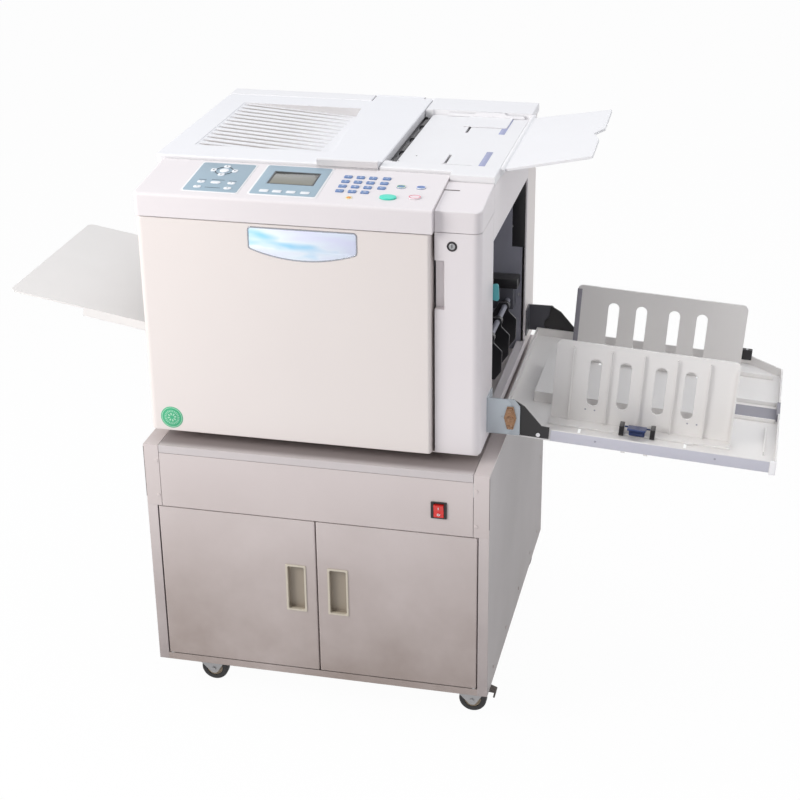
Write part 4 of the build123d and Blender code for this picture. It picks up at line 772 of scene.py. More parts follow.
displayPanel = {
    "low": size(-104, 24, -0.5),
    "high": size(6.5, 141, 1.1),
    "window": (size(-87, 66, -2), size(-7, 119, 6)),
    "softKeys": [-82, -60, -36.5, -12.8],
    "softKeyRow": 36,
}
displayRim, displayOverlay = panelPlates("display", displayPanel["low"], displayPanel["high"], 3.5, 0.5)
windowLow, windowHigh = displayPanel["window"]
cutWith(displayOverlay, addBlock("windowCut", windowLow, windowHigh))
cutWith(displayRim, addBlock("windowCut", windowLow + size(0.6, 0.6, 2.2), windowHigh - size(0.6, 0.6, 0)))
displayBezel = addBlock("displayBezel", windowLow + size(0.3, 0.3, 2.05), windowHigh - size(0.3, 0.3, 5.1))
sinkFace(displayBezel, skyward, rim=0.0028, depth=0.0006, edge=fineEdge)
displayScreen = plate(
    "displayScreen", windowLow + size(3.4, 3.4, 2.1), windowHigh - size(3.4, 3.4, 5.55), 0.0008, hairEdge,
)
for piece, finishName in (
    (displayRim, "lidHousing"), (displayOverlay, "overlayFilm"),
    (displayBezel, "displayFrame"), (displayScreen, "displayGlass"),
):
    fit(onPanel(piece), finishName)

softKey = keyPlate("softKey1", (0, 0), (7.5, 4.5), (1, 2), 0.0015, softEdge)
softKeyPlaces = [size(x, displayPanel["softKeyRow"], 0) for x in displayPanel["softKeys"]]
for number, place in enumerate(softKeyPlaces[1:], 2):
    fit(onPanel(copyOf(softKey, "softKey" + str(number), place)), "whiteKeycap")
fit(onPanel(move(softKey, softKeyPlaces[0])), "whiteKeycap")
print("display fitted")

cursorPanel = {
    "low": size(-217, 22, -0.5),
    "high": size(-125, 138, 0.9),
    "centre": (-172, 107),
    "reach": (18.5, 17.0),
    "smallKeys": [(-196, 57), (-144, 57), (-196, 36.5), (-144, 36.5)],
    "wideKey": (-171, 57),
    "bars": [(-196, 66.5, 13), (-144, 66.5, 13), (-170, 68.5, 22), (-170, 36.5, 26)],
}
cursorRim, cursorOverlay = panelPlates("cursor", cursorPanel["low"], cursorPanel["high"], 3, 0.4)
middleX, middleY = cursorPanel["centre"]
letGo()
bpy.ops.mesh.primitive_torus_add(
    location=size(middleX, middleY, 0.9), major_radius=0.0150, minor_radius=0.0008,
    major_segments=64, minor_segments=8,
)
cursorRing = bpy.context.object
cursorRing.name = "cursorRing"
setPlace(cursorRing)
cursorKey = addRound("cursorKeyMiddle", size(middleX, middleY, 1.2), 0.0078, 0.0018, sides=48)
roundOff(cursorKey, keyEdge)
arrowKeys = []
for name, stepX, stepY, turn in (
    ("Right", 1, 0, 0), ("Up", 0, 1, 90), ("Left", -1, 0, 180), ("Down", 0, -1, 270),
):
    key = keyPlate("cursorKey" + name, (0, 0), (4.6, 5.6), (0.5, 2.1), 0.0028)
    place = size(middleX + stepX * cursorPanel["reach"][0], middleY + stepY * cursorPanel["reach"][1], 0)
    layOn(key, place, (0, 0, math.radians(turn)))
    mark = addRound("cursorMark" + name, size(0, 0, 2.13), 0.0024, printDepth, sides=3)
    layOn(mark, place, (0, 0, math.radians(turn - 90)))
    arrowKeys += [(key, "whiteKeycap"), (mark, "printInk")]
smallKeys = []
for number, (x, y) in enumerate(cursorPanel["smallKeys"], 1):
    key = keyPlate("settingKey" + str(number), (x, y), (6.5, 4.2), (0.5, 2.0), 0.0035)
    mark = addRound("settingMark" + str(number), size(x, y, 2.03), 0.0018, printDepth, sides=3)
    smallKeys += [(key, "whiteKeycap"), (mark, "printInk")]
wideKey = keyPlate("settingKeyWide", cursorPanel["wideKey"], (8.5, 4.4), (0.5, 2.0), 0.0042)
bars = []
for number, (x, y, length) in enumerate(cursorPanel["bars"], 1):
    bar = keyPlate("overlayBar" + str(number), (x, y), (length / 2, 0.8), (0.85, 0.98), 0.0006, 0)
    bars.append((bar, "printInk"))
for piece, finishName in (
    [
        (cursorRim, "lidHousing"), (cursorOverlay, "overlayFilm"), (cursorRing, "displayFrame"),
        (cursorKey, "whiteKeycap"), (wideKey, "whiteKeycap"),
    ]
    + arrowKeys + smallKeys + bars
):
    fit(onPanel(piece), finishName)
print("cursor keys fitted")

# the number keys' marks, the ring keys' caps and the lamp
numberKeys = {
    "left": 40, "front": 55, "pitchX": 21, "pitchY": 19.3, "top": 1.6,
    "marks": [["-", "7", "4", "1"], ["0", "8", "5", "2"], ["#", "9", "6", "3"]],
    "side": (105, 75.5), "sideMarks": ["C", "=", "+"],
}
keyHeight = numberKeys["top"] + 0.02
left, front, pitchX, pitchY = (numberKeys[name] for name in ("left", "front", "pitchX", "pitchY"))
keyWords = [
    (word, size(left + column * pitchX, front + row * pitchY, keyHeight))
    for column, marks in enumerate(numberKeys["marks"]) for row, word in enumerate(marks)
]
sideX, sideY = numberKeys["side"]
keyWords += [
    (word, size(sideX, sideY + row * pitchY, keyHeight)) for row, word in enumerate(numberKeys["sideMarks"])
]
digits = [lettering("keyMark", word, place, 0.0075, printDepth) for word, place in keyWords]
keyMarks = merge("keyMarks", digits)
fit(onPanel(keyMarks), "keyInk", "number_keys")


def grown(half, rim):
    return tuple(one + rim for one in half)


ringKeys = [
    ("testKey", (135.5, 85), (7.5, 6), 1.6, "greenPrint", "number_keys"),
    ("resetKey", (168, 86.5), (7.5, 6), 1.6, "bluePrint", "number_keys"),
    ("stopKey", (166.5, 46.5), (10.5, 7.5), 2.0, "pinkPrint", "stop_button"),
]
for name, place, half, top, ringFinish, body in ringKeys:
    cap = addOval(name + "Cap", size(0, 0, top - 0.45), grown(half, 0.12), 0.0012)
    sinkFace(cap, skyward, rim=0.0022, depth=0.0004, edge=fineEdge)
    ring = addOval(name + "Ring", size(0, 0, top + 0.14), grown(half, -0.5), 0.00012)
    cutWith(ring, addOval("ringHole", size(0, 0, top), grown(half, -2.1), 0.004))
    for piece, finishName in ((cap, "whiteKeycap"), (ring, ringFinish)):
        fit(onPanel(move(piece, size(*place, 0))), finishName, body)

startKey = {"place": (124, 40), "half": (13.5, 9), "top": 2.4}
startCap = addOval("startCap", size(0, 0, startKey["top"] - 0.9), grown(startKey["half"], 0.12), 0.0022, 64)
sinkFace(startCap, skyward, rim=0.0016, depth=-0.0002)
roundOff(startCap, keyEdge, 3)
fit(onPanel(move(startCap, size(*startKey["place"], 0))), "startPlastic", "start_button")

lamp = {"place": (61.5, 31.5), "rim": 5.2, "lens": 3.0}
lampRim = addRound("lampRim", size(*lamp["place"], 0.3), lamp["rim"] * mm, 0.0012, sides=48)
sinkFace(lampRim, skyward, rim=0.0014, depth=0.0006, edge=fineEdge)
letGo()
bpy.ops.mesh.primitive_uv_sphere_add(
    segments=32, ring_count=16, radius=lamp["lens"] * mm, location=size(*lamp["place"], 0.2),
)
lampLens = bpy.context.object
lampLens.name = "lampLens"
lampLens.scale = (1, 1, 0.5)
setPlace(lampLens)
bpy.ops.object.shade_smooth()
fit(onPanel(lampRim), "lampRim")
fit(onPanel(lampLens), "lampAmber")
print("keys and lamp fitted")


badge = {
    "left": -103, "right": 81, "top": 906, "side": 868, "bottom": 851, "door": 21, "corner": 6,
}


def makeBadgePrint():
    # pale blue and white clouds, with nothing written on them
    tree, shader, place = newMaterial("badgePrint")
    slant = tree.nodes.new("ShaderNodeMapping")
    slant.inputs["Rotation"].default_value = (0, math.radians(28), 0)
    slant.inputs["Scale"].default_value = (9, 1, 30)
    tree.links.new(place, slant.inputs["Vector"])
    drift = noiseNode(tree, slant.outputs["Vector"], 1.3, 2.0, 0.45)
    stops = [(0.30, (150, 216, 244)), (0.46, (238, 248, 252)), (0.66, (232, 232, 250))]
    clouds = rampNode(tree, drift, stops)
    left, right = (badge["left"] - 2) * mm, (badge["right"] + 2) * mm
    across = rangeNode(tree, splitNode(tree, place)["X"], left, right)
    colour = blendTone(tree, times(tree, across, 0.45), clouds, tone(206, 214, 246))
    fine = noiseNode(tree, place, 900.0, 1.0)
    dress(tree, shader, colour, plus(tree, 0.16, times(tree, fine, 0.08)), 0.4, 0.1)


makeBadgePrint()
makeFinish(
    "badgeRimSilver", "pin_steel", (186, 188, 196), (150, 152, 162), 0.22, metallic=0.9, wear=0.2,
    dust=0.02,
)


def sharpest(edge):
    faces = edge.link_faces
    return max(abs(face.normal.dot(other.normal)) for face in faces for other in faces if face != other)


def badgeShape(name, inset, near, far):
    # a disc with the radius of the lower edge, cut down to the badge's sides and top
    left, right = badge["left"] + inset, badge["right"] - inset
    half = (badge["right"] - badge["left"]) / 2
    drop = badge["side"] - badge["bottom"]
    radius = (half * half + drop * drop) / (2 * drop)
    piece = addRound(
        name, spot((left + right) / 2, (near + far) / 2, badge["bottom"] + radius),
        (radius - inset) * mm, (far - near) * mm, "Y", sides=360,
    )
    for x, z, normal in (
        (left, 900, (-1, 0, 0)), (right, 900, (1, 0, 0)), (0, badge["top"] - inset, (0, 0, 1)),
    ):
        pick(piece, "FACE", lambda face: True)
        bpy.ops.mesh.bisect(plane_co=spot(x, near, z), plane_no=normal, clear_outer=True, use_fill=True)
        doneEditing()
    pick(piece, "EDGE", lambda one: alongAxis(one, 1) and sharpest(one) < 0.94)
    bevelPicked((badge["corner"] - inset) * mm, 5)
    return piece


badgeRim = badgeShape("badgeRim", 0.3, badge["door"] - 0.7, badge["door"] + 1.1)
sinkFace(badgeRim, toFront, rim=0.0019, depth=0.0005)
badgeFace = badgeShape("badgeFace", 2.3, badge["door"] - 0.35, badge["door"] + 0.6)
for piece, finishName in ((badgeRim, "badgeRimSilver"), (badgeFace, "badgePrint")):
    roundOff(piece, fineEdge)
    fit(piece, finishName, "front_door")
print("badge fitted")


sticker = {"place": spot(-256, 20.85, 549), "radius": 0.0199, "thickness": 0.0004}


def makeStickerPrint():
    # a green disc with a plain pale ring and a ring of short strokes
    tree, shader, place = newMaterial("stickerPrint")
    centred = tree.nodes.new("ShaderNodeMapping")
    centred.inputs["Location"].default_value = (-sticker["place"].x, 0.0, -sticker["place"].z)
    tree.links.new(place, centred.inputs["Vector"])
    split = splitNode(tree, centred.outputs["Vector"])
    squares = [mathNode(tree, "POWER", split[axis], 2.0) for axis in ("X", "Z")]
    reach = mathNode(tree, "SQRT", plus(tree, *squares))
    angle = mathNode(tree, "ARCTAN2", split["Z"], split["X"])
    ring = nearTo(tree, reach, 0.0178, 0.0005)
    strokes = above(tree, mathNode(tree, "SINE", times(tree, angle, 24.0)), 0.35)
    band = nearTo(tree, reach, 0.0118, 0.0019)
    petals = above(tree, mathNode(tree, "SINE", times(tree, angle, 8.0)), 0.1)
    heart = nearTo(tree, reach, 0.0058, 0.0022)
    mask = larger(tree, ring, larger(tree, times(tree, strokes, band), times(tree, petals, heart)))
    patchy = noiseNode(tree, place, 120.0, 2.0)
    green = blendTone(tree, patchy, tone(66, 180, 132), tone(50, 164, 116))
    colour = blendTone(tree, times(tree, mask, 0.62), green, tone(214, 238, 220))
    dress(tree, shader, colour, plus(tree, 0.28, times(tree, patchy, 0.12)))


makeStickerPrint()
disc = addRound("doorSticker", sticker["place"], sticker["radius"], sticker["thickness"], "Y", sides=72)
roundOff(disc, hairEdge)
fit(disc, "stickerPrint", "front_door")

# the lock in the column's recess
makeFinish(
    "lockDark", "arm_black", (62, 58, 60), (50, 47, 49), 0.35, metallic=0.5, wear=0.4,
    wornTone=(150, 146, 146), dust=0.08,
)
lockX, lockFace, lockZ = 233.5, 33, 890
lockRing = addRound("lockRing", spot(lockX, lockFace + 0.3, lockZ), 0.0083, 0.0018, "Y", sides=56)
sinkFace(lockRing, toFront, rim=0.0018, depth=0.0008, edge=softEdge)
lockBarrel = addRound("lockBarrel", spot(lockX, lockFace + 0.2, lockZ), 0.0052, 0.0019, "Y", sides=48)
keyway = spot(lockX - 0.7, lockFace - 4, lockZ - 3.2), spot(lockX + 0.7, lockFace + 0.6, lockZ + 3.2)
cutWith(lockBarrel, addBlock("keyway", *keyway))
roundOff(lockBarrel, fineEdge)
for piece, finishName in ((lockRing, "lockDark"), (lockBarrel, "pinSteel")):
    fit(piece, finishName)
print("sticker and lock fitted")

# rivets on the cabinet, one shape copied to every place
rivet = {
    "radius": 0.0032, "height": 0.0011,
    "front": [(282.6, 473), (282.6, 406), (-282.6, 473), (-282.6, 406)],
    "side": [(60, 91), (193, 91), (335, 91), (475, 91), (565, 91), (590, 250), (590, 440)],
}
rivetHead = addRound("rivetHead", nowhere, rivet["radius"], rivet["height"], "Y", sides=24)
roundOff(rivetHead, 0.0006, 3)
frontRivets = [copyOf(rivetHead, "rivet", spot(x, -0.25, z)) for x, z in rivet["front"]]
fit(merge("frontRivets", frontRivets), "cabinetPaint")
sideRivet = copyOf(rivetHead, "sideRivet", nowhere)
layOn(sideRivet, nowhere, (0, 0, math.pi / 2))
sideRivets = [
    copyOf(sideRivet, "rivet", spot(side * 305.25, y, z))
    for y, z in rivet["side"] for side in (-1, 1)
]
fit(merge("sideRivets", sideRivets), "cabinetPaint")
for spare in (rivetHead, sideRivet):
    bpy.data.objects.remove(spare)
print("rivets fitted")

# the output tray's own plane: x along the tray, y to the back, z out of its floor
trayPlane = {"origin": spot(327, 0, 563), "droop": math.radians(3.5)}


def onTray(piece):
    return layOn(piece, trayPlane["origin"], (0, trayPlane["droop"], 0))


def roundedBlock(name, low, high, edge):
    piece = addBlock(name, low, high)
    roundOff(piece, edge, 3)
    return piece


def screwHead(name, middle, radius, height, axis="Y"):
    # a head with a round socket in it, looking to the front on Y, up on Z and to the right on X
    piece = addRound(name, middle, radius, height, axis, sides=28)
    normal = {"X": Vector((1, 0, 0)), "Y": toFront, "Z": skyward}[axis]
    sinkFace(piece, normal, rim=radius * 0.55, depth=height * 0.4, edge=radius * 0.16)
    return piece


makeFinish(
    "railPaint", "bracket_steel", (196, 195, 204), (186, 185, 196), 0.36, grain=1100.0, wear=0.2,
    dust=0.08,
)
# dark grey for the channel strip, its end in the rail and the far fence's end edge
makeFinish(
    "channelFelt", "frame_grey", (146, 144, 152), (134, 132, 141), 0.66, grain=1500.0, depth=0.00008,
    wear=0.1, dust=0.12,
)
makeFinish(
    "clipPlastic", "arm_black", (26, 25, 28), (36, 35, 38), 0.34, wear=0.3, wornTone=(92, 90, 94),
    dust=0.15,
)
makeFinish(
    "latchBrass", "pinion_steel", (168, 132, 104), (128, 96, 74), 0.28, metallic=0.9, grain=500.0,
    depth=0.00012, wear=0.5, wornTone=(236, 222, 206), dust=0.12,
)
makeFinish(
    "platePaint", "bracket_steel", (196, 203, 208), (178, 187, 194), 0.36, metallic=0.2, wear=0.2,
    dust=0.1,
)

outputTray = {
    "cladding": (size(64, 101.3, -29.6), size(429, 102.2, -10.4)),
    "endCap": (size(430, 100.9, -33.5), size(440.2, 104, -8.6)),
    "railScrews": [140, 340],
    "railTabs": [184, 222],
    "channel": (size(346, 295, -24.4), size(436.5, 341, -23.1)),
    "channelEnd": (size(434.5, 291, -24), size(440.3, 345, -10.6)),
    "farClip": (size(357, 526.5, -16), size(381, 534.6, 5)),
    "farClipScrew": (371, 528.5, 5.4),
    "pocketRibs": [
        (size(356, 352, -24.2), size(358.5, 470, -13)), (size(356, 467.5, -24.2), size(424, 470, -15)),
        (size(356, 352, -24.2), size(434, 354.5, -16)), (size(356, 281.5, -24.2), size(434, 284, -17)),
        (size(417, 150, -24.2), size(419.5, 250, -17)),
    ],
}
for name, span, finishName, edge in (
    ("trayCladding", outputTray["cladding"], "railPaint", softEdge),
    ("trayEndCap", outputTray["endCap"], "lidHousing", blockEdge),
    ("trayChannelStrip", outputTray["channel"], "channelFelt", softEdge),
    ("trayChannelEnd", outputTray["channelEnd"], "channelFelt", 0.0006),
    ("trayFarClip", outputTray["farClip"], "clipPlastic", 0.0012),
):
    fit(onTray(roundedBlock(name, *span, edge)), finishName, "output_tray")
sinkFace(bpy.data.objects["trayFarClip"], skyward, rim=0.0022, depth=0.0008)
clipScrew = screwHead("trayFarClipScrew", size(*outputTray["farClipScrew"]), 0.0024, 0.0016, "Z")
fit(onTray(clipScrew), "pinSteel", "output_tray")
ribs = [roundedBlock("trayRib", low, high, blockEdge) for low, high in outputTray["pocketRibs"]]
fit(onTray(merge("trayPocketRibs", ribs)), "trayPlastic", "output_tray")
railScrews = [screwHead("railScrew", size(u, 101.1, -19), 0.0019, 0.0008) for u in outputTray["railScrews"]]
fit(onTray(merge("trayRailScrews", railScrews)), "frameSteel", "output_tray")
railTabs = [
    roundedBlock("railTab", size(u, 102, -33), size(u + 7, 106, -29.8), 0.0006)
    for u in outputTray["railTabs"]
]
fit(onTray(merge("trayRailTabs", railTabs)), "trayPlastic", "output_tray")
armScrews = [
    screwHead("armScrew", spot(369, 98.7, 539.6), 0.0036, 0.0016),
    addRound("armScrew", spot(369, 538.2, 539.6), 0.0036, 0.0016, "Y", sides=28),
]
fit(merge("trayArmScrews", armScrews), "lidHousing", "output_tray")
print("output tray details fitted")

# the lift-off latch on the near bracket, in brass on a bright plate
nearLatch = {
    "plate": (spot(283.5, 95.1, 538.0), spot(323, 96.1, 601.6)),
    "corner": 7.0,
    "sight": (307.6, 570.6, 1.4),
    "cam": (321.8, 568.8, 10.6, 24.0),
    "studs": [(321.0, 582.5, 4.4), (321.6, 566.0, 5.2), (321.0, 552.0, 3.6)],
}
latchPlate = addBlock("latchPlate", *nearLatch["plate"])
pick(latchPlate, "EDGE", lambda one: alongAxis(one, 1) and one.verts[0].co.x > 0.3)
bevelPicked(nearLatch["corner"] * mm, 1)
roundOff(latchPlate, softEdge)
sightX, sightZ, sightRadius = nearLatch["sight"]
cutWith(latchPlate, addRound("sight", spot(sightX, 95.5, sightZ), sightRadius * mm, 0.006, "Y", sides=24))
fit(latchPlate, "platePaint")
camX, camZ, camHalf, camTall = nearLatch["cam"]
latchCam = layOn(addRound("latchCam", nowhere, mm, 0.0022, "Y", sides=6), nowhere, (0, math.pi / 2, 0))
latchCam.scale = (camHalf, 1, camTall)
move(latchCam, spot(camX, 94.2, camZ))
sinkFace(latchCam, toFront, rim=0.0018, depth=0.0007, edge=keyEdge)
studs = [latchCam]
for x, z, radius in nearLatch["studs"]:
    stud = addRound("latchStud", spot(x, 93.1, z), radius * mm, 0.0034, "Y", sides=24)
    pick(stud, "EDGE", lambda one: alongAxis(one, 1))
    bpy.ops.mesh.select_nth(skip=1, nth=1)
    bevelPicked(0.0004, 1)
    sinkFace(stud, toFront, rim=radius * 0.0004, depth=0.0009, edge=softEdge)
    studs.append(stud)
fit(merge("latchCam", studs), "latchBrass")
print("bracket latch fitted")

# the fences: end edge, foot screws, and the black clips beside the lock
fenceTrim = {
    "edge": (size(52.7, 438.9, -19), size(61.5, 441, 118)),
    "screws": [(111.5, 2.6), (127.6, 2.6), (286, 2.6), (302, 2.6)],
    "lockMiddle": 205, "clipReach": (22.4, 30.4), "clipY": (147.0, 166.8), "clipZ": (-23.2, -5.6),
    "grip": (size(191.5, 146.5, -21), size(218.5, 153.2, -6)),
    "tab": (size(288, 147.5, -23.2), size(300, 152.6, -19.8)),
}
fit(onTray(roundedBlock("fenceFarEdge", *fenceTrim["edge"], blockEdge)), "channelFelt", "fence_far")
for body, faceY in (("fence_near", 176.9), ("fence_far", 443.1)):
    marks = [
        addRound("fenceScrew", size(u, faceY, w), 0.0015, 0.0007, "Y", sides=20)
        for u, w in fenceTrim["screws"]
    ]
    for mark in marks:
        roundOff(mark, fineEdge)
    fit(onTray(merge(body.replace("fence_", "fenceScrews_"), marks)), "frameSteel", body)
near, far = fenceTrim["clipReach"]
clips = []
for side in (-1, 1):
    edges = sorted((fenceTrim["lockMiddle"] + side * near, fenceTrim["lockMiddle"] + side * far))
    low = size(edges[0], fenceTrim["clipY"][0], fenceTrim["clipZ"][0])
    high = size(edges[1], fenceTrim["clipY"][1], fenceTrim["clipZ"][1])
    clip = addBlock("lockClip", low, high)
    sinkFace(clip, toFront, rim=0.0017, depth=0.0018, edge=keyEdge)
    clips.append(clip)
fit(onTray(merge("lockClips", clips)), "clipPlastic", "fence_near")
lockGrip = roundedBlock("lockGrip", *fenceTrim["grip"], 0.0016)
sinkFace(lockGrip, toFront, rim=0.0024, depth=0.0008)
fit(onTray(lockGrip), "lockPlastic", "fence_lock")
fit(onTray(roundedBlock("fenceTab", *fenceTrim["tab"], blockEdge)), "trayPlastic", "fence_near")
print("fence trim fitted")

# what shows through the delivery opening: a dark housing with its cap, a black plate that stands in for the
# shade behind the rear plate's window, and screw heads
works = {
    "housing": (spot(212, 470, 614), spot(262.5, 499.6, 656)),
    "cap": (spot(208, 466, 656.5), spot(270.5, 499.6, 675)),
    "shade": (spot(238, 503.6, 722), spot(278.5, 506, 884)),
    "screws": [
        (247, 740, 503.3), (260, 722.6, 503.3), (252, 767, 503.3), (249, 812, 503.3), (268.7, 634, 499.7),
    ],
}
makeFinish(
    "housingGrey", "motor_dark", (84, 84, 92), (70, 70, 78), 0.38, wear=0.3, wornTone=(150, 150, 158),
    dust=0.25, dustTone=(120, 118, 120),
)
for name, finishName, edge in (
    ("housing", "housingGrey", 0.0012), ("cap", "clipPlastic", 0.0015), ("shade", "clipPlastic", 0.0004),
):
    piece = addBlock("works" + name.capitalize(), *works[name])
    if name == "shade":
        pick(piece, "EDGE", lambda one: alongAxis(one, 1) and one.verts[0].co.z < 0.8)
        bevelPicked(0.009, 8)
    roundOff(piece, edge, 3)
    fit(piece, finishName)
innerScrews = [screwHead("innerScrew", spot(x, y, z), 0.0028, 0.0018) for x, z, y in works["screws"]]
fit(merge("worksScrews", innerScrews), "pinSteel")
print("works details fitted")


def makeScalePrint():
    # blue-grey paper size scale with fine pale ticks across it
    tree, shader, place = newMaterial("scalePrint")
    split = splitNode(tree, place)
    wave = mathNode(tree, "SINE", times(tree, split["Y"], 2 * math.pi / 0.0085))
    ticks = above(tree, wave, 0.9)
    inner = below(tree, split["X"], 0.2425)
    mask = times(tree, times(tree, ticks, inner), 0.55)
    patchy = noiseNode(tree, place, 160.0, 2.0)
    ground = blendTone(tree, patchy, tone(158, 162, 196), tone(150, 154, 188))
    colour = blendTone(tree, mask, ground, tone(214, 218, 232))
    dress(tree, shader, colour, plus(tree, 0.36, times(tree, patchy, 0.1)))


makeScalePrint()
sizeScales = {"left": 237, "right": 248, "spans": [(236, 319), (429, 529)], "table": 962}
for number, (front, back) in enumerate(sizeScales["spans"], 1):
    low = spot(sizeScales["left"], front, sizeScales["table"] - 0.2)
    high = spot(sizeScales["right"], back, sizeScales["table"] + 0.18)
    fit(plate("sizeScale" + str(number), low, high, 0.0008, hairEdge, 2), "scalePrint")
print("size scales fitted")

# the on and off marks of the power rocker
rocker = {
    "rise": 6.2, "tilt": math.radians(7), "stroke": 1.1, "length": 4.6, "ring": 2.6, "depth": 0.4,
}
rockerLow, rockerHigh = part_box("switch_rocker")
rockerMiddle = (rockerLow + rockerHigh) / 2


def rockerMark(piece, rise):
    # lays a mark on one half of the rocker: the upper half stands upright and the lower one slopes in
    slope = 0 if rise > 0 else 2 * rocker["tilt"]
    piece.rotation_euler = (slope, 0, 0)
    depth = rocker["rise"] * mm * math.tan(slope)
    return move(piece, Vector((rockerMiddle.x, rockerLow.y + depth + 0.0001, rockerMiddle.z + rise * mm)))


half = rocker["stroke"] * mm / 2
tall = rocker["length"] * mm / 2
thick = rocker["depth"] * mm
reach = Vector((half, thick, tall))
onMark = rockerMark(addBlock("onMark", -reach, reach), rocker["rise"])
offMark = addRound("offMark", nowhere, rocker["ring"] * mm, 2 * thick, "Y", sides=40)
ringHole = addRound("ringHole", nowhere, (rocker["ring"] - rocker["stroke"]) * mm, 0.01, "Y", sides=40)
cutWith(offMark, ringHole)
offMark = rockerMark(offMark, -rocker["rise"])
fit(merge("rockerMarks", [onMark, offMark]), "lidHousing", "switch_rocker")
print("rocker marks fitted")

# the joint lines at the cabinet's corners, the slot in the column's cap, and the document table's marks
makeFinish("seamDark", "arm_black", (92, 82, 80), (80, 71, 70), 0.6, wear=0.1, dust=0.2)
seams = {
    "cabinetCorner": [
        (spot(side * 305 - 0.35, -0.25, 402), spot(side * 305 + 0.35, 0.4, 499))
        for side in (-1, 1)
    ],
    "capSlot": (spot(199, 112.6, 956.6), spot(230, 115.4, 957.25)),
    "tableMarks": [(123, 274, 962.0), (99, 240, 962.0), (123, 542, 962.0)],
}
cornerSeams = [addBlock("seam", low, high) for low, high in seams["cabinetCorner"]]
fit(merge("cornerSeams", cornerSeams), "seamDark")
fit(addBlock("capSlot", *seams["capSlot"]), "seamDark")
marks = [
    addRound("tableMark", spot(x, y, z), 0.0014, 0.0005, "Z", sides=20)
    for x, y, z in seams["tableMarks"]
]
fit(merge("tableMarks", marks), "seamDark")
print("seams and marks fitted")

# wheel hubs, one each side of every tyre
makeFinish(
    "hubPlastic", "pull_beige", (176, 160, 138), (158, 142, 120), 0.5, grain=700.0, wear=0.35, dust=0.4,
    dustTone=(132, 120, 106),
)
wheelHub = {"radius": 0.0152, "thickness": 0.0022, "hole": 0.0085, "inset": 0.0035}
for corner in wheelCorners:
    low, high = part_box("caster_wheel_" + corner)
    middle = (low + high) / 2
    for side, sideName in ((-1, "_front"), (1, "_back")):
        faceY = (high.y if side > 0 else low.y) - side * wheelHub["inset"]
        hubPlace = Vector((middle.x, faceY, middle.z))
        hubName = "wheelHub_" + corner + sideName
        hub = addRound(hubName, hubPlace, wheelHub["radius"], wheelHub["thickness"], "Y")
        cutWith(hub, addRound("axleHole", middle, wheelHub["hole"], 0.1, "Y", sides=40))
        sinkFace(hub, -side * toFront, rim=0.0016, depth=0.0008, edge=softEdge)
        fit(hub, "hubPlastic", "caster_wheel_" + corner)
print("hubs fitted")

# stage, light and camera
studio = {
    "floorTone": (244, 244, 246),
    "floorShade": (240, 240, 243),
    "glow": 0.97,
    "world": 0.40,
    "lamps": {
        "keyLight": {
            "place": (-1.55, -1.5, 1.65), "aim": (-0.3, -0.3, 0.7), "width": 1.2, "spread": 180,
            "power": 42, "colour": (1.0, 0.99, 0.97),
        },
        "trayLight": {
            "place": (1.5, -2.3, 1.9), "aim": (0.78, 0.0, 0.56), "width": 0.8, "spread": 24, "power": 0.62,
            "colour": (1.0, 1.0, 1.0),
        },
        "sideLight": {
            "place": (2.6, -0.3, 1.9), "aim": (0.28, 0.0, 0.8), "width": 1.5, "spread": 180, "power": 12,
            "colour": (0.96, 0.98, 1.0),
        },
        "topLight": {
            "place": (0.3, 0.6, 3.2), "aim": (0.0, 0.0, 0.6), "width": 2.2, "spread": 180, "power": 30,
            "colour": (0.91, 0.95, 1.0),
        },
    },
}


def seenDirectly(tree):
    # 1 for what the camera looks at, straight or by way of a mirror or glass, and 0 for all other light
    rays = tree.nodes.new("ShaderNodeLightPath").outputs
    through = larger(tree, rays["Is Glossy Ray"], rays["Is Transmission Ray"])
    return larger(tree, rays["Is Camera Ray"], through)


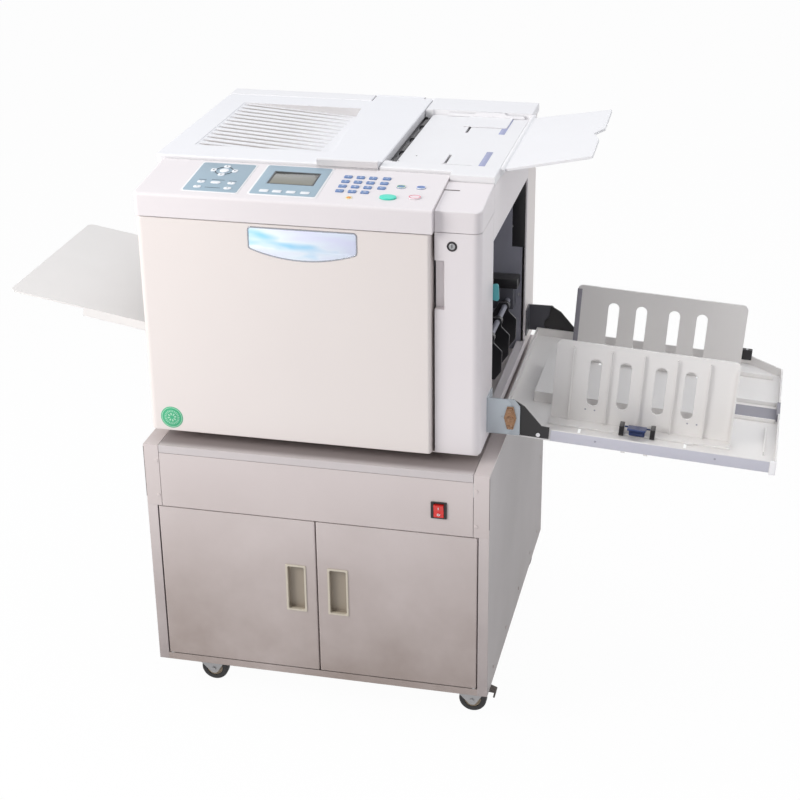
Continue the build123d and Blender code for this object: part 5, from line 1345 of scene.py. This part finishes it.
def makeFloor():
    letGo()
    bpy.ops.mesh.primitive_plane_add(size=40, location=(0, 0, 0))
    floor = bpy.context.object
    floor.name = "floor"
    material = bpy.data.materials.new("paleFloor")
    material.use_nodes = True
    tree = material.node_tree
    tree.nodes.clear()
    place = tree.nodes.new("ShaderNodeTexCoord").outputs["Object"]
    cloudy = noiseNode(tree, place, 3.0, 2.0)
    matt = tree.nodes.new("ShaderNodeBsdfDiffuse")
    colour = blendTone(tree, cloudy, tone(*studio["floorTone"]), tone(*studio["floorShade"]))
    tree.links.new(colour, matt.inputs["Color"])
    glow = tree.nodes.new("ShaderNodeEmission")
    glow.inputs["Color"].default_value = (1, 1, 1, 1)
    glow.inputs["Strength"].default_value = 1.0
    share = times(tree, seenDirectly(tree), studio["glow"])
    mix = tree.nodes.new("ShaderNodeMixShader")
    tree.links.new(share, mix.inputs["Fac"])
    tree.links.new(matt.outputs["BSDF"], mix.inputs[1])
    tree.links.new(glow.outputs["Emission"], mix.inputs[2])
    output = tree.nodes.new("ShaderNodeOutputMaterial")
    tree.links.new(mix.outputs["Shader"], output.inputs["Surface"])
    floor.data.materials.append(material)


makeFloor()


def aimed(place, target):
    return (target - place).to_track_quat("-Z", "Y").to_euler()


for name, lamp in studio["lamps"].items():
    letGo()
    place = Vector(lamp["place"])
    bpy.ops.object.light_add(type="AREA", location=place, rotation=aimed(place, Vector(lamp["aim"])))
    light = bpy.context.object
    light.name = name
    light.data.shape = "SQUARE"
    light.data.size = lamp["width"]
    light.data.spread = math.radians(lamp["spread"])
    light.data.energy = lamp["power"]
    light.data.color = lamp["colour"]

world = bpy.data.worlds.new("studioAir")
bpy.context.scene.world = world
world.use_nodes = True
air = world.node_tree
background = air.nodes["Background"]
background.inputs["Color"].default_value = (0.96, 0.97, 1.0, 1)
strength = plus(air, studio["world"], times(air, seenDirectly(air), 1.0 - studio["world"]))
air.links.new(strength, background.inputs["Strength"])

camera = {
    "place": Vector((0.740, -2.790, 1.806)),
    "azimuth": math.radians(13.306),
    "elevation": math.radians(24.785),
    "roll": math.radians(-0.685),
    "lens": 76.81,
}


def makeCamera():
    turn, lift, roll = camera["azimuth"], camera["elevation"], camera["roll"]
    back = Vector((math.sin(turn) * math.cos(lift), -math.cos(turn) * math.cos(lift), math.sin(lift)))
    level = Vector((math.cos(turn), math.sin(turn), 0))
    above = back.cross(level)
    right = math.cos(roll) * level + math.sin(roll) * above
    up = -math.sin(roll) * level + math.cos(roll) * above
    letGo()
    bpy.ops.object.camera_add(location=camera["place"])
    view = bpy.context.object
    view.name = "photoView"
    view.rotation_euler = Matrix((right, up, back)).transposed().to_euler()
    view.data.lens = camera["lens"]
    view.data.sensor_width = 36
    bpy.context.scene.camera = view


makeCamera()
bpy.context.scene.view_settings.view_transform = "Standard"
print("stage, lights and camera set")


print("duplicator finished")
